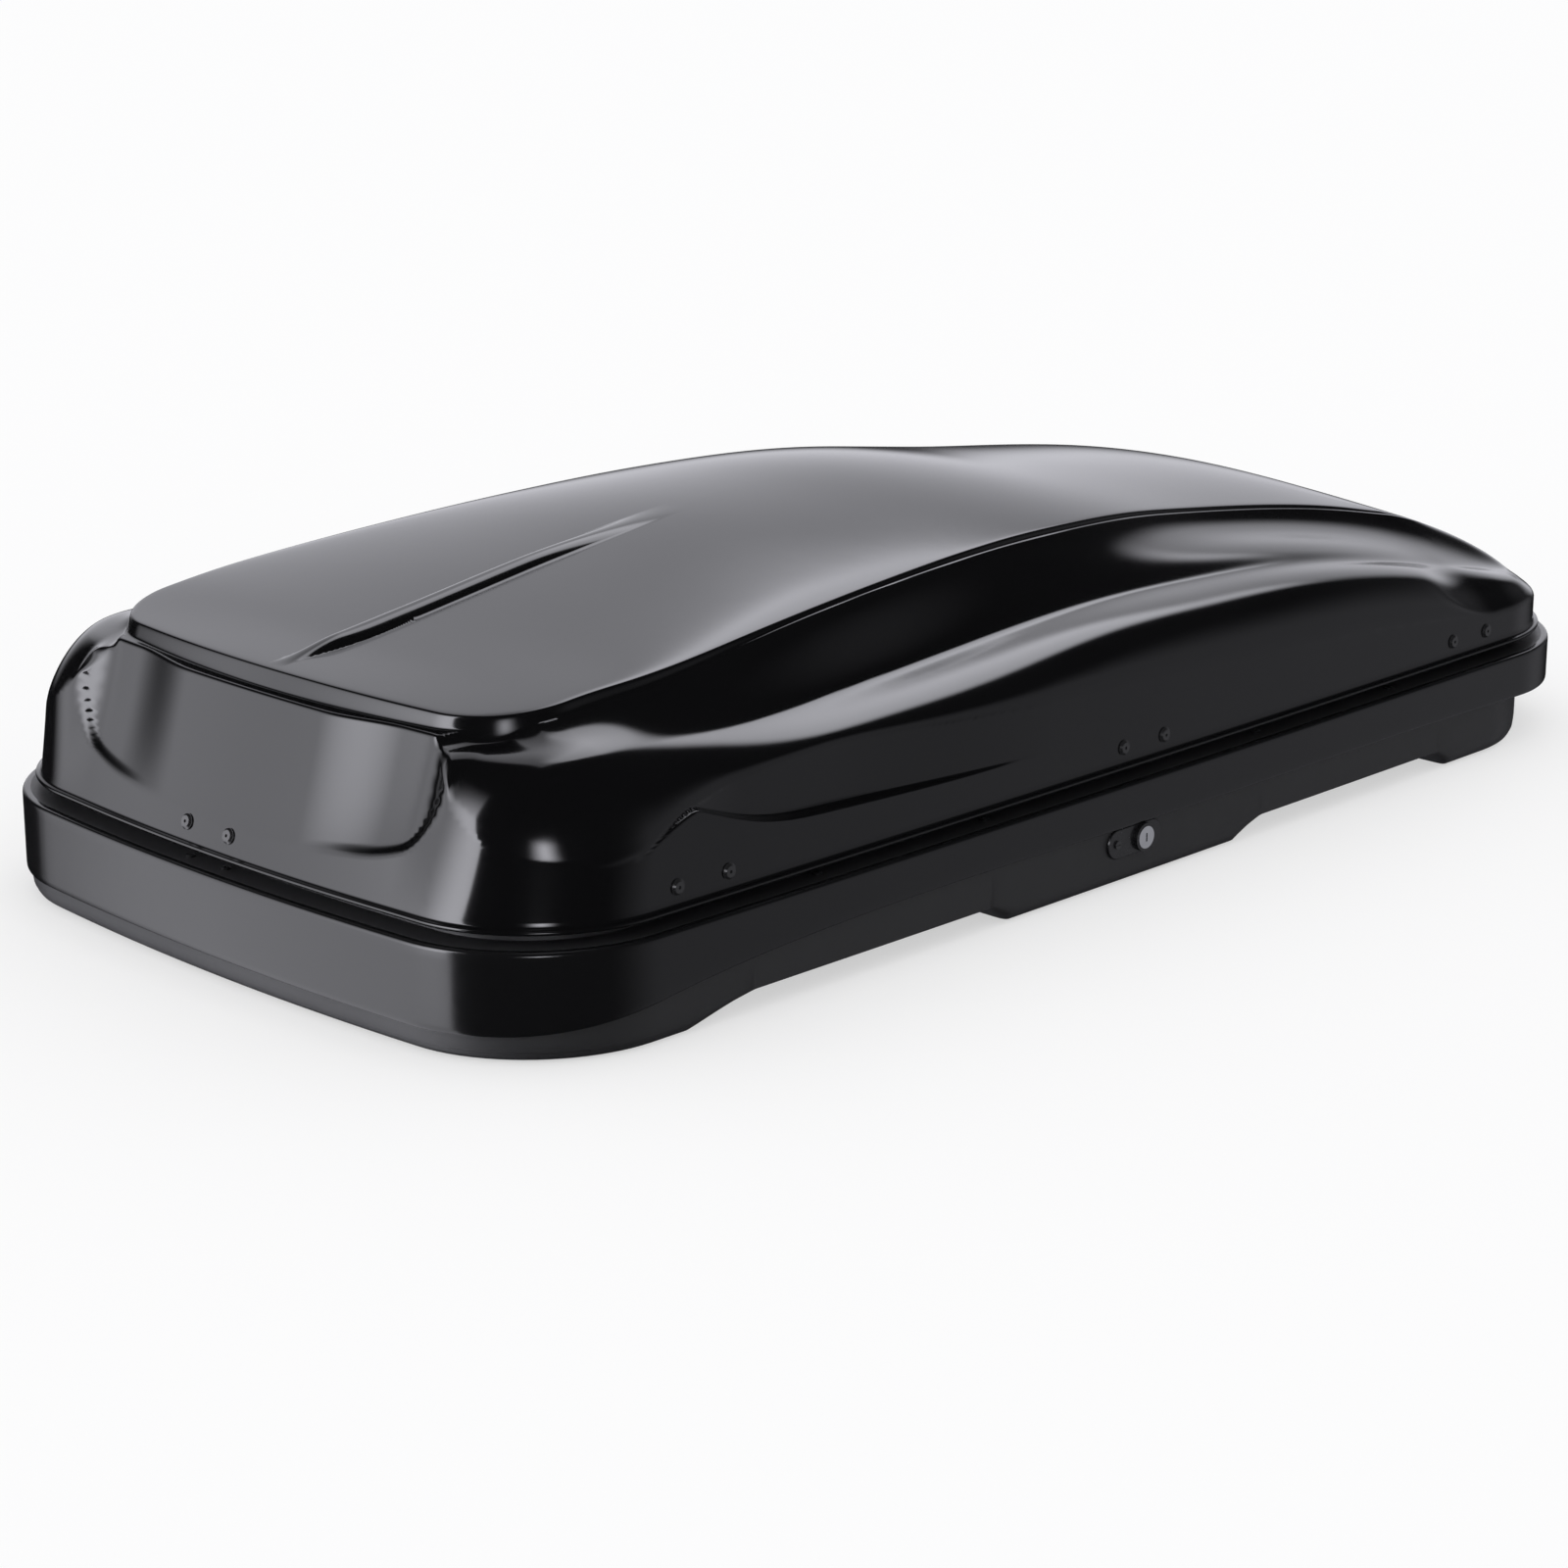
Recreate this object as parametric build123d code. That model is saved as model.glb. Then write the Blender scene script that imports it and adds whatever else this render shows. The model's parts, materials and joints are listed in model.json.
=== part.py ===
from build123d import *
import math
import os

# Roof cargo box that opens on its right side. All lengths are in millimetres.
# Origin under the middle of the feet: +X to the front, +Y to the left (hinge side), +Z up.

# Overall size and the plan outline of the rim
LENGTH = 1600.0
WIDTH = 815.0
CORNER_R = 143.0
SIDE_BOW = 6.7
END_BOW = 28.0
RIM_Z = 100.0
CROWN_Z = 346.0

# Base tub
TUB_WALL = 4.0
BAND_STEP = 4.5
TUB_FOOT_INSET = 19.0
TUB_KNEE_Z = 24.0
SHELF_WIDTH = 38.0
UPSTAND_WALL = 3.5
UPSTAND_Z = RIM_Z + 14.0
SEAL_OUTER = 2.0
SEAL_INNER = 1.2
BAR_ZONE_Z = 21.0
NOSE_SETBACK = 50.0

# Lid
LID_INSET = 17.0
LID_WALL = 3.5
LIP_Z = RIM_Z + 10.0

# Rivets and other fastenings
RIVET_Z = 131.0
RIVET_HALF_PITCH = 30.0
RIVET_HEAD_R = 7.5
RIVET_SHANK_R = 2.4
RIVET_HOLE_R = 2.5
RIVET_STAND = 0.15
RIVET_SLACK = 1.4
SMALL_HEAD_R = 5.0
CLEAR = 0.06
CUT_MARGIN = 10.0

# Stations along X
LATCH_X = (-565.0, 16.0, 551.0)
HINGE_X = (-500.0, 0.0, 500.0)
HINGE_NAMES = ("rear", "middle", "front")
STRUT_X = (-608.0, 608.0)
END_NAMES = ("rear", "front")
REAR_PAIR_Y = 25.0
FRONT_PAIR_Y = 0.0
GUIDE_X = (-420.0, -200.0, 200.0, 420.0)

# Lid guides
TONGUE_X = 752.0
SOCKET_RIVET_X = 777.0
SOCKET_RIVET_Y = 25.0

# Hinge line
HINGE_Y = 396.0
HINGE_Z = 105.0
KNUCKLE_R = 4.0
PIN_R = 2.0

# Gas struts: pivot on the tub, pivot on the lid
STRUT_FOOT_Y = 270.0
STRUT_FOOT_Z = 34.0
STRUT_HEAD_Y = 355.0
STRUT_HEAD_Z = 155.0
STRUT_PIN_R = 3.0
STRUT_PLAY = 3.6
STRUT_BOLT_Y = 19.0
BOLT_R = 2.0
BOLT_HEAD_R = 4.0

# Latch and lock
BAR_Y = -347.5
BAR_THICK = 3.0
BAR_Z = (48.0, 66.0)
BAR_X = (-624.0, 535.0)
STRIKER_PIN_Z = 82.0
STRIKER_PIN_R = 3.0
LOCK_Z = 43.0
LOCK_FACE_R = 11.0
LOCK_BODY_R = 11.0
PLUG_R = 8.0
CAM_ARM = 14.0
SCREW_X = -38.0
CAM_PIN_R = 2.5

# Crossbar mounting slots
SLOT_ROWS_Y = (-250.0, 250.0)
SLOT_REAR_X = -360.0
SLOT_FRONT_X = 334.0
SLOT_SPACING_X = 90.0
SLOT_LENGTH = 50.0
SLOT_R = 3.5
STRIP_THICK = 2.0


# Small building blocks

def box(x0, x1, y0, y1, z0, z1):
    """Block between two corners."""
    block = Box(abs(x1 - x0), abs(y1 - y0), abs(z1 - z0))
    return Pos((x0 + x1) / 2, (y0 + y1) / 2, (z0 + z1) / 2) * block


def rod(start, end, radius):
    """Round bar between two points."""
    a = Vector(*start)
    b = Vector(*end)
    place = Plane(origin=a, z_dir=(b - a).normalized())
    return place * extrude(Circle(radius), (b - a).length)


def group(solids):
    """Several separate solids that share one node."""
    return Compound(children=[piece for solid in solids for piece in solid.solids()])


def plan(inset):
    """Plan outline: rounded rectangle with bowed sides, brought in by inset."""
    hx = LENGTH / 2 - inset
    hy = WIDTH / 2 - inset
    cx = hx - END_BOW
    cy = hy - SIDE_BOW
    sides = [
        ThreePointArc((-cx, -cy), (0, -hy), (cx, -cy)),
        ThreePointArc((cx, -cy), (hx, 0), (cx, cy)),
        ThreePointArc((cx, cy), (0, hy), (-cx, cy)),
        ThreePointArc((-cx, cy), (-hx, 0), (-cx, -cy)),
    ]
    face = make_face(sides)
    return fillet(face.vertices(), CORNER_R - inset)


def slab(inset, z0, z1):
    """Plan outline extruded between two heights."""
    return Pos(0, 0, z0) * extrude(plan(inset), z1 - z0)


def side_y(x, inset):
    """Half width of the plan outline at station x, for an outline brought in by inset."""
    hy = WIDTH / 2 - inset
    cx = LENGTH / 2 - inset - END_BOW
    radius = (cx * cx + SIDE_BOW * SIDE_BOW) / (2 * SIDE_BOW)
    return hy - radius + math.sqrt(radius * radius - x * x)


def inner_wall_y(x, half_length):
    """Half width inside the lid wall that clears a straight piece of this half length at x."""
    skin = LID_INSET + LID_WALL
    return min(side_y(x - half_length, skin), side_y(x + half_length, skin)) - 0.05


def rivet(point, outward, grip, head_r):
    """Blind rivet: domed head outside, shank through grip, set tail inside."""
    dome = head_r * 0.36
    head = extrude(Circle(head_r), dome * 0.35)
    cap = Pos(0, 0, dome * 0.35) * extrude(Circle(head_r * 0.97), dome * 0.65, taper=50)
    reach = grip + RIVET_SLACK
    shank = Pos(0, 0, -reach) * extrude(Circle(RIVET_SHANK_R), reach)
    tail = Pos(0, 0, -reach - 4) * extrude(Circle(RIVET_SHANK_R * 1.6), 4)
    mandrel = Pos(0, 0, dome - 1.5) * extrude(Circle(head_r * 0.2), 3)
    body = head + cap + shank + tail - mandrel
    start = Vector(*point) + Vector(*outward).normalized() * RIVET_STAND
    return Plane(origin=start, z_dir=outward) * body


def rivet_hole(point, outward, depth=14.0):
    """Drill through a wall and whatever is riveted to it."""
    way = Vector(*outward).normalized()
    a = Vector(*point) + way * 4
    b = Vector(*point) - way * depth
    return rod(tuple(a), tuple(b), RIVET_HOLE_R)


# Rivet positions: point on the outer surface and the outward direction

def side_rivets(stations, side):
    """Pairs of rivets on the lid's side wall."""
    spots = []
    for station in stations:
        for step in (-RIVET_HALF_PITCH, RIVET_HALF_PITCH):
            x = station + step
            spots.append(((x, side * side_y(x, LID_INSET), RIVET_Z), (0, side, 0)))
    return spots


def end_rivets(face_x, lean, pair_y):
    """Pair of rivets near the middle of the lid's end wall, square to the leaning, bowed wall."""
    side = math.copysign(1, face_x)
    bend = END_BOW / (WIDTH / 2 - LID_INSET) ** 2
    spots = []
    for y in (pair_y - RIVET_HALF_PITCH, pair_y + RIVET_HALF_PITCH):
        way = (side * math.cos(lean), 2 * bend * y, math.sin(lean))
        spots.append(((face_x - side * bend * y * y, y, RIVET_Z), way))
    return spots


# Lid form: stacked plan outlines, low at the front and steep at the rear

REAR_FOOT_X = -783.0
REAR_TOP = (-723.0, 282.0)
FRONT_FOOT_X = 783.0
FRONT_KNEE = (776.0, 155.0)
REAR_LEAN = math.atan2(REAR_TOP[0] - REAR_FOOT_X, REAR_TOP[1] - LIP_Z)
FRONT_LEAN = math.atan2(FRONT_FOOT_X - FRONT_KNEE[0], FRONT_KNEE[1] - LIP_Z)
REAR_RIVET_X = REAR_FOOT_X + (RIVET_Z - LIP_Z) * math.tan(REAR_LEAN)
FRONT_RIVET_X = FRONT_FOOT_X - (RIVET_Z - LIP_Z) * math.tan(FRONT_LEAN)


def rear_x(z):
    """Rear face of the lid at height z, on its straight lean."""
    return REAR_FOOT_X + (z - LIP_Z) * math.tan(REAR_LEAN)


# Height, rear end, front end, half width and corner radius of each outline
LID_LEVELS = (
    (LIP_Z, rear_x(LIP_Z), FRONT_FOOT_X, WIDTH / 2 - LID_INSET, CORNER_R - LID_INSET),
    (155, rear_x(155), FRONT_KNEE[0], WIDTH / 2 - LID_INSET, 122),
    (200, rear_x(200), 738, 380, 112),
    (245, rear_x(245), 622, 352, 100),
    (282, rear_x(282), 455, 300, 90),
    (303, -461, 315, 262, 80),
    (330, -245, 165, 150, 70),
    (CROWN_Z, -70, 50, 50, 30),
)
LID_TOP_FROM_Z = 240.0


def level_face(z, x0, x1, half_width, corner):
    """One outline of the lid: rounded rectangle with bowed sides and ends."""
    scale = half_width / (WIDTH / 2 - LID_INSET)
    middle = (x0 + x1) / 2
    hx = (x1 - x0) / 2
    cx = hx - END_BOW * scale * scale
    cy = half_width - SIDE_BOW * scale
    sides = [
        ThreePointArc((-cx, -cy), (0, -half_width), (cx, -cy)),
        ThreePointArc((cx, -cy), (hx, 0), (cx, cy)),
        ThreePointArc((cx, cy), (0, half_width), (-cx, cy)),
        ThreePointArc((-cx, cy), (-hx, 0), (-cx, -cy)),
    ]
    face = make_face(sides)
    return Pos(middle, 0, z) * fillet(face.vertices(), corner)


def lid_form(skin):
    """Solid form of the lid, brought in by skin all round; open below when used as a cutter."""
    faces = []
    if skin:
        z, x0, x1, half_width, corner = LID_LEVELS[0]
        low_x0 = x0 - CUT_MARGIN * math.tan(REAR_LEAN) + skin
        faces.append(level_face(z - CUT_MARGIN, low_x0, x1 - skin, half_width - skin, corner - skin))
    for z, x0, x1, half_width, corner in LID_LEVELS:
        drop = skin if z > LID_TOP_FROM_Z else 0
        faces.append(level_face(z - drop, x0 + skin, x1 - skin, half_width - skin, corner - skin))
    return loft(faces, ruled=True)


def lid():
    """Domed lid shell with its rivet holes."""
    shell = lid_form(0) - LID_CAVITY
    for point, way in LID_RIVET_SPOTS:
        shell -= rivet_hole(point, way)
    return shell


# Base tub

def bottom_profile(skin):
    """Side view of the tub's underside, raised by skin: feet with two crossbar zones between."""
    low = skin
    high = BAR_ZONE_Z + skin
    points = [
        (-810, low),
        (-590, low),
        (-515, high),
        (-212 - skin / 2, high),
        (-182 - skin / 2, low),
        (148 + skin / 2, low),
        (187 + skin / 2, high),
        (482 - skin / 2, high),
        (510 - skin / 2, low),
        (810, low),
        (810, 200),
        (-810, 200),
    ]
    return make_face(Polyline(*points, close=True))


def tub_form(skin):
    """Outer form of the tub below the band, brought in by skin; its nose stops short of the rim."""
    side_cut = extrude(Plane.XZ * bottom_profile(skin), WIDTH / 2, both=True)
    knee_z = TUB_KNEE_Z + skin
    upper = slab(BAND_STEP + skin, knee_z, RIM_Z + 20)
    knee = Pos(0, 0, knee_z) * plan(BAND_STEP + skin)
    foot = Pos(0, 0, -5) * plan(TUB_FOOT_INSET + skin)
    form = (upper + loft([foot, knee], ruled=True)) & side_cut
    nose = Pos(-NOSE_SETBACK, 0, -10) * extrude(plan(BAND_STEP + skin), RIM_Z + 10)
    return form & nose


def band():
    """Rim band: deep at the rear, swept up to a narrow strip along the sides and the front."""
    sweep = [
        Line((-760, 20), (-760, 25)),
        Spline((-760, 25), (-640, 40), (-450, 57), (0, 58), (450, 57), (640, 54), (810, 52)),
        Line((810, 52), (810, 20)),
        Line((810, 20), (-760, 20)),
    ]
    below = extrude(Plane.XZ * make_face(sweep), WIDTH / 2 + 5, both=True)
    return slab(0, 25, RIM_Z) - below


def mounting_slots(z0, z1):
    """Cutters for the eight crossbar slots."""
    slot = extrude(SlotOverall(SLOT_LENGTH, 2 * SLOT_R), z1 - z0)
    cutters = []
    for zone in (SLOT_REAR_X, SLOT_FRONT_X):
        for y in SLOT_ROWS_Y:
            for step in (-SLOT_SPACING_X / 2, SLOT_SPACING_X / 2):
                cutters.append(Pos(zone + step, y, z0) * slot)
    return cutters


def base_shell():
    """Tub with its rim band, inward shelf, upstand and every hole in it."""
    outer = tub_form(0) + band()
    upstand = slab(SHELF_WIDTH - UPSTAND_WALL, RIM_Z - 4, UPSTAND_Z)
    hollow = tub_form(TUB_WALL) & slab(0, 0, RIM_Z - 4)
    band_hollow = slab(BAND_STEP + TUB_WALL, 62, RIM_Z - 4)
    mouth = slab(SHELF_WIDTH, 70, UPSTAND_Z + 5)
    shell = outer + upstand - hollow - band_hollow - mouth
    for cutter in mounting_slots(10, 40):
        shell -= cutter
    for point, way in BASE_RIVET_SPOTS:
        shell -= rivet_hole(point, way)
    for x, y in STRUT_BOLT_SPOTS:
        shell -= foot_bolt_hole(x, y)
    wall_y = -side_y(0, BAND_STEP)
    shell -= rod((0, wall_y - 5, LOCK_Z), (0, wall_y + 12, LOCK_Z), LOCK_BODY_R + CLEAR)
    shell -= rod((SCREW_X, wall_y - 5, LOCK_Z), (SCREW_X, wall_y + 12, LOCK_Z), 2.0)
    return shell


def rim_seal():
    """Rubber channel that grips the upstand and carries the sealing bead."""
    outer = slab(SHELF_WIDTH - UPSTAND_WALL - SEAL_OUTER, RIM_Z + 6, UPSTAND_Z + 5)
    inner = slab(SHELF_WIDTH + SEAL_INNER, RIM_Z, UPSTAND_Z + 6)
    grip = slab(SHELF_WIDTH - UPSTAND_WALL, RIM_Z, UPSTAND_Z) - slab(SHELF_WIDTH, RIM_Z, UPSTAND_Z)
    return outer - inner - grip


def mounting_strip(x, y):
    """Steel strip that spreads the crossbar clamp load over the floor, with its two slots."""
    z0 = BAR_ZONE_Z + TUB_WALL
    strip = box(x - 105, x + 105, y - 20, y + 20, z0, z0 + STRIP_THICK)
    strip = fillet(strip.edges().filter_by(Axis.Z), 8)
    for cutter in mounting_slots(10, 40):
        strip -= cutter
    for step in (-95, 95):
        strip -= rod((x + step, y, z0 - 5), (x + step, y, z0 + 10), RIVET_HOLE_R)
    return strip


def strip_rivet_spots():
    """Rivets at both ends of the four mounting strips, heads inside."""
    z = BAR_ZONE_Z + TUB_WALL + STRIP_THICK
    spots = []
    for x in (SLOT_REAR_X, SLOT_FRONT_X):
        for y in SLOT_ROWS_Y:
            for step in (-95, 95):
                spots.append(((x + step, y, z), (0, 0, 1)))
    return spots


# Hinges

def knuckle(x0, x1):
    """One hinge knuckle on the hinge line."""
    return rod((x0, HINGE_Y, HINGE_Z), (x1, HINGE_Y, HINGE_Z), KNUCKLE_R)


def pin_hole(x, half_length):
    """Cutter for the hinge pin hole."""
    a = (x - half_length, HINGE_Y, HINGE_Z)
    b = (x + half_length, HINGE_Y, HINGE_Z)
    return rod(a, b, PIN_R + CLEAR)


def hinge_base_leaf(x):
    """Fixed leaf: plate on the shelf with two outer knuckles."""
    plate = box(x - 46, x + 46, 374.2, HINGE_Y, RIM_Z, RIM_Z + 2)
    leaf = plate + knuckle(x - 46, x - 17) + knuckle(x + 17, x + 46)
    leaf -= box(x - 16.7, x + 16.7, HINGE_Y - 6, HINGE_Y + 6, RIM_Z - 1, HINGE_Z + 6)
    leaf -= pin_hole(x, 50)
    for step in (-RIVET_HALF_PITCH, RIVET_HALF_PITCH):
        leaf -= rod((x + step, 380, RIM_Z - 2), (x + step, 380, RIM_Z + 4), RIVET_HOLE_R)
    return leaf


def hinge_lid_leaf(x):
    """Moving leaf: centre knuckle, neck under the lid's lip, plate up the inner wall."""
    wall_y = inner_wall_y(x, 42)
    plate = box(x - 42, x + 42, wall_y - 3, wall_y + 3, LIP_Z - 3, 146) & LID_CAVITY
    foot = box(x - 42, x + 42, wall_y - 3, wall_y, LIP_Z - 4, LIP_Z + 2)
    neck = box(x - 16, x + 16, wall_y - 3, HINGE_Y, HINGE_Z, HINGE_Z + 2)
    web = box(x - 16, x + 16, wall_y - 3, wall_y, HINGE_Z, LIP_Z)
    leaf = plate + foot + neck + web + knuckle(x - 16, x + 16)
    leaf -= pin_hole(x, 50)
    for point, way in side_rivets((x,), 1):
        leaf -= rivet_hole(point, way)
    return leaf


def hinge_pin(x):
    """Hinge pin with a flat head at its front end."""
    shaft = rod((x - 46.5, HINGE_Y, HINGE_Z), (x + 46.5, HINGE_Y, HINGE_Z), PIN_R)
    head = rod((x + 46.2, HINGE_Y, HINGE_Z), (x + 48.2, HINGE_Y, HINGE_Z), PIN_R + 1.2)
    return shaft + head


# Latch

def striker(x):
    """Lid bracket that reaches over the upstand and down to a cross pin."""
    wall_y = inner_wall_y(x, 42)
    plate = box(x - 42, x + 42, -wall_y - 3, -wall_y + 2.5, LIP_Z + 12, 146) & LID_CAVITY
    arm = box(x - 12, x + 12, -wall_y, -352, 122, 125) & LID_CAVITY
    leg = box(x - 12, x + 12, -355, -352, STRIKER_PIN_Z - 7, 125)
    pin = rod((x, -353, STRIKER_PIN_Z), (x, -338, STRIKER_PIN_Z), STRIKER_PIN_R)
    bracket = plate + arm + leg + pin
    for point, way in side_rivets((x,), -1):
        bracket -= rivet_hole(point, way)
    return bracket


def latch_bar():
    """Flat sliding bar with a drive tab and slot for the lock cam."""
    y0 = BAR_Y - BAR_THICK / 2
    y1 = BAR_Y + BAR_THICK / 2
    bar = box(*BAR_X, y0, y1, *BAR_Z)
    tab_x = cam_pin_offset()
    bar += box(tab_x - 14, tab_x + 14, y0, y1, BAR_Z[0] - 5, BAR_Z[1])
    half = CAM_PIN_R + 0.5
    low = LOCK_Z + CAM_ARM * math.cos(math.pi / 4) - half
    high = LOCK_Z + CAM_ARM + half
    bar -= box(tab_x - half, tab_x + half, y0 - 1, y1 + 1, low, high)
    for x in LATCH_X:
        for z in hook_rivet_heights():
            bar -= rod((x - 38, y0 - 1, z), (x - 38, y1 + 1, z), 2.0 + CLEAR)
    return bar


def cam_pin_offset():
    """Place of the cam pin along X when the latch is open."""
    return -CAM_ARM * math.sin(math.pi / 4)


def hook_rivet_heights():
    """Heights of the two rivets that hold each hook to the bar."""
    return (BAR_Z[0] + 5, BAR_Z[1] - 5)


def latch_hook(x):
    """Hook plate that slides over a striker pin, drawn in the open position."""
    y0 = BAR_Y + BAR_THICK / 2
    y1 = y0 + 4
    back = box(x - 50, x - 33, y0, y1, BAR_Z[0], 95)
    finger = box(x - 34, x - 12, y0, y1, STRIKER_PIN_Z + STRIKER_PIN_R + 0.5, 95)
    hook = back + finger
    for z in hook_rivet_heights():
        hook -= rod((x - 38, y0 - 1, z), (x - 38, y1 + 1, z), 2.0 + CLEAR)
    return hook


def hook_rivets():
    """Solid rivets between the hooks and the bar."""
    solids = []
    y0 = BAR_Y - BAR_THICK / 2
    y1 = BAR_Y + BAR_THICK / 2 + 4
    for x in LATCH_X:
        for z in hook_rivet_heights():
            shank = rod((x - 38, y0 - 1.5, z), (x - 38, y1 + 1.5, z), 2.0)
            head_a = rod((x - 38, y0 - 1.6, z), (x - 38, y0 - 0.1, z), 3.6)
            head_b = rod((x - 38, y1 + 0.1, z), (x - 38, y1 + 1.6, z), 3.6)
            solids.append(shank + head_a + head_b)
    return group(solids)


def latch_guides():
    """Plastic guides that hang under the shelf and carry the sliding bar."""
    solids = []
    gap = 0.3
    for x in GUIDE_X:
        flange = box(x - 14, x + 14, -392, -342, RIM_Z - 8, RIM_Z - 4)
        leg = box(x - 14, x + 14, BAR_Y - 6, BAR_Y + 5.5, BAR_Z[0] - 4, RIM_Z - 6)
        window = box(
            x - 20,
            x + 20,
            BAR_Y - BAR_THICK / 2 - gap,
            BAR_Y + BAR_THICK / 2 + gap,
            BAR_Z[0] - gap,
            BAR_Z[1] + gap,
        )
        hole = rod((x, -381, RIM_Z - 12), (x, -381, RIM_Z), RIVET_HOLE_R)
        solids.append(flange + leg - window - hole)
    return group(solids)


# Lock

def lock_wall_y():
    """Outer face of the tub wall at the lock."""
    return -side_y(0, BAND_STEP)


def lock_escutcheon():
    """Pill-shaped cover plate around the lock."""
    y = lock_wall_y()
    pill = Plane(origin=(-12, y, LOCK_Z), x_dir=(1, 0, 0), z_dir=(0, -1, 0)) * SlotOverall(78, 29)
    plate = extrude(pill, 2.5)
    plate = chamfer(plate.faces().sort_by(Axis.Y)[0].edges(), 0.8)
    plate -= rod((0, y - 6, LOCK_Z), (0, y + 3, LOCK_Z), LOCK_BODY_R + CLEAR)
    plate -= rod((SCREW_X, y - 6, LOCK_Z), (SCREW_X, y + 3, LOCK_Z), 2.0)
    return plate


def escutcheon_screw():
    """Small screw beside the lock."""
    y = lock_wall_y()
    shank = rod((SCREW_X, y + 6, LOCK_Z), (SCREW_X, y - 2.6, LOCK_Z), 1.9)
    head = rod((SCREW_X, y - 2.6, LOCK_Z), (SCREW_X, y - 4.2, LOCK_Z), 4.0)
    slot = box(SCREW_X - 3, SCREW_X + 3, y - 5, y - 3.6, LOCK_Z - 0.5, LOCK_Z + 0.5)
    return shank + head - slot


def lock_housing():
    """Flanged lock barrel."""
    y = lock_wall_y()
    front = y - 2.6
    ring = rod((0, front, LOCK_Z), (0, front - 4, LOCK_Z), LOCK_FACE_R + 3)
    barrel = rod((0, front, LOCK_Z), (0, -367, LOCK_Z), LOCK_BODY_R)
    seat = rod((0, front - 5, LOCK_Z), (0, front - 1, LOCK_Z), LOCK_FACE_R + CLEAR)
    bore = rod((0, front - 5, LOCK_Z), (0, -360, LOCK_Z), PLUG_R + CLEAR)
    return ring + barrel - seat - bore


def lock_nut():
    """Ring nut behind the tub wall."""
    y = lock_wall_y() + TUB_WALL + 0.2
    nut = extrude(Plane(origin=(0, y, LOCK_Z), z_dir=(0, 1, 0)) * RegularPolygon(14.5, 6), 5)
    return nut - rod((0, y - 1, LOCK_Z), (0, y + 6, LOCK_Z), LOCK_BODY_R + CLEAR)


def lock_plug():
    """Turning plug with its face, keyway and square tail."""
    front = lock_wall_y() - 2.6
    face = rod((0, front - 1.1, LOCK_Z), (0, front - 4.4, LOCK_Z), LOCK_FACE_R)
    core = rod((0, front - 1.1, LOCK_Z), (0, -365, LOCK_Z), PLUG_R)
    tail = box(-3.5, 3.5, -365.5, -355.5, LOCK_Z - 3.5, LOCK_Z + 3.5)
    keyway = box(-0.9, 0.9, front - 6, front + 16, LOCK_Z - 4.2, LOCK_Z + 4.2)
    return face + core + tail - keyway


def lock_cam():
    """Lever on the plug's tail whose pin drives the latch bar, drawn in the open position."""
    tip_x = cam_pin_offset()
    tip_z = LOCK_Z + CAM_ARM * math.cos(math.pi / 4)
    y0 = -364.5
    y1 = -361.0
    hub = rod((0, y0, LOCK_Z), (0, y1, LOCK_Z), 8)
    end = rod((tip_x, y0, tip_z), (tip_x, y1, tip_z), 5)
    link = Plane(origin=(0, y0, LOCK_Z), x_dir=(tip_x, 0, tip_z - LOCK_Z), z_dir=(0, 1, 0))
    arm = extrude(link * Pos(CAM_ARM / 2, 0) * Rectangle(CAM_ARM, 9), y1 - y0)
    pin = rod((tip_x, y1 - 1, tip_z), (tip_x, BAR_Y + 3, tip_z), CAM_PIN_R)
    square = box(-3.56, 3.56, y0 - 1, y1 + 1, LOCK_Z - 3.56, LOCK_Z + 3.56)
    return hub + end + arm + pin - square


def cam_clip():
    """Spring clip that keeps the cam on the plug's tail."""
    disc = rod((0, -360.9, LOCK_Z), (0, -359.4, LOCK_Z), 6.5)
    return disc - box(-3.56, 3.56, -362, -358, LOCK_Z - 3.56, LOCK_Z + 3.56)


# Lid guides at the two end centres

def lid_guide(face_x, lean, pair_y):
    """Tongue inside the lid's end wall that finds the socket on the base."""
    side = math.copysign(1, face_x)
    inner = abs(face_x) - LID_WALL
    tongue_x = side * TONGUE_X
    plate = box(side * (inner - 12), side * 800, pair_y - 42, pair_y + 42, LIP_Z + 12, 146) & LID_CAVITY
    hollow = box(side * (inner - 14), side * (inner - 4), pair_y - 43, pair_y + 43, 90, 160)
    middle = (side * (inner - 2.4), pair_y, RIVET_Z)
    slope = Plane(origin=middle, z_dir=(side * math.cos(lean), 0, math.sin(lean)))
    thick = slope * Box(4.5, 200, 60, rotation=(0, 90, 0))
    plate = plate - hollow + (thick & plate)
    arm = box(tongue_x, side * (inner - 1.5), pair_y - 14, pair_y + 14, 122, 125) & LID_CAVITY
    tongue = box(tongue_x, tongue_x + side * 3, pair_y - 14, pair_y + 14, 78, 125)
    guide = plate + arm + tongue
    for point, way in end_rivets(face_x, lean, pair_y):
        guide -= rivet_hole(point, way)
    return guide


def guide_socket(side, pair_y):
    """Fork on the base that centres the lid's tongue."""
    wall_x = side * (LENGTH / 2 - SHELF_WIDTH)
    near = side * (LENGTH / 2 - SHELF_WIDTH - 24)
    top = box(near, side * (LENGTH / 2 - 12), -34, 34, RIM_Z - 8, RIM_Z - 4)
    top -= box(near - side, wall_x + side, -17, 17, 80, 110)
    socket = top
    for y in (-34, 17):
        socket += box(near, wall_x, y, y + 17, 76, RIM_Z - 4)
    for y in (-SOCKET_RIVET_Y, SOCKET_RIVET_Y):
        socket -= rod((side * SOCKET_RIVET_X, y, 80), (side * SOCKET_RIVET_X, y, 120), RIVET_HOLE_R)
    return Pos(0, pair_y, 0) * socket


# Gas struts

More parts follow.
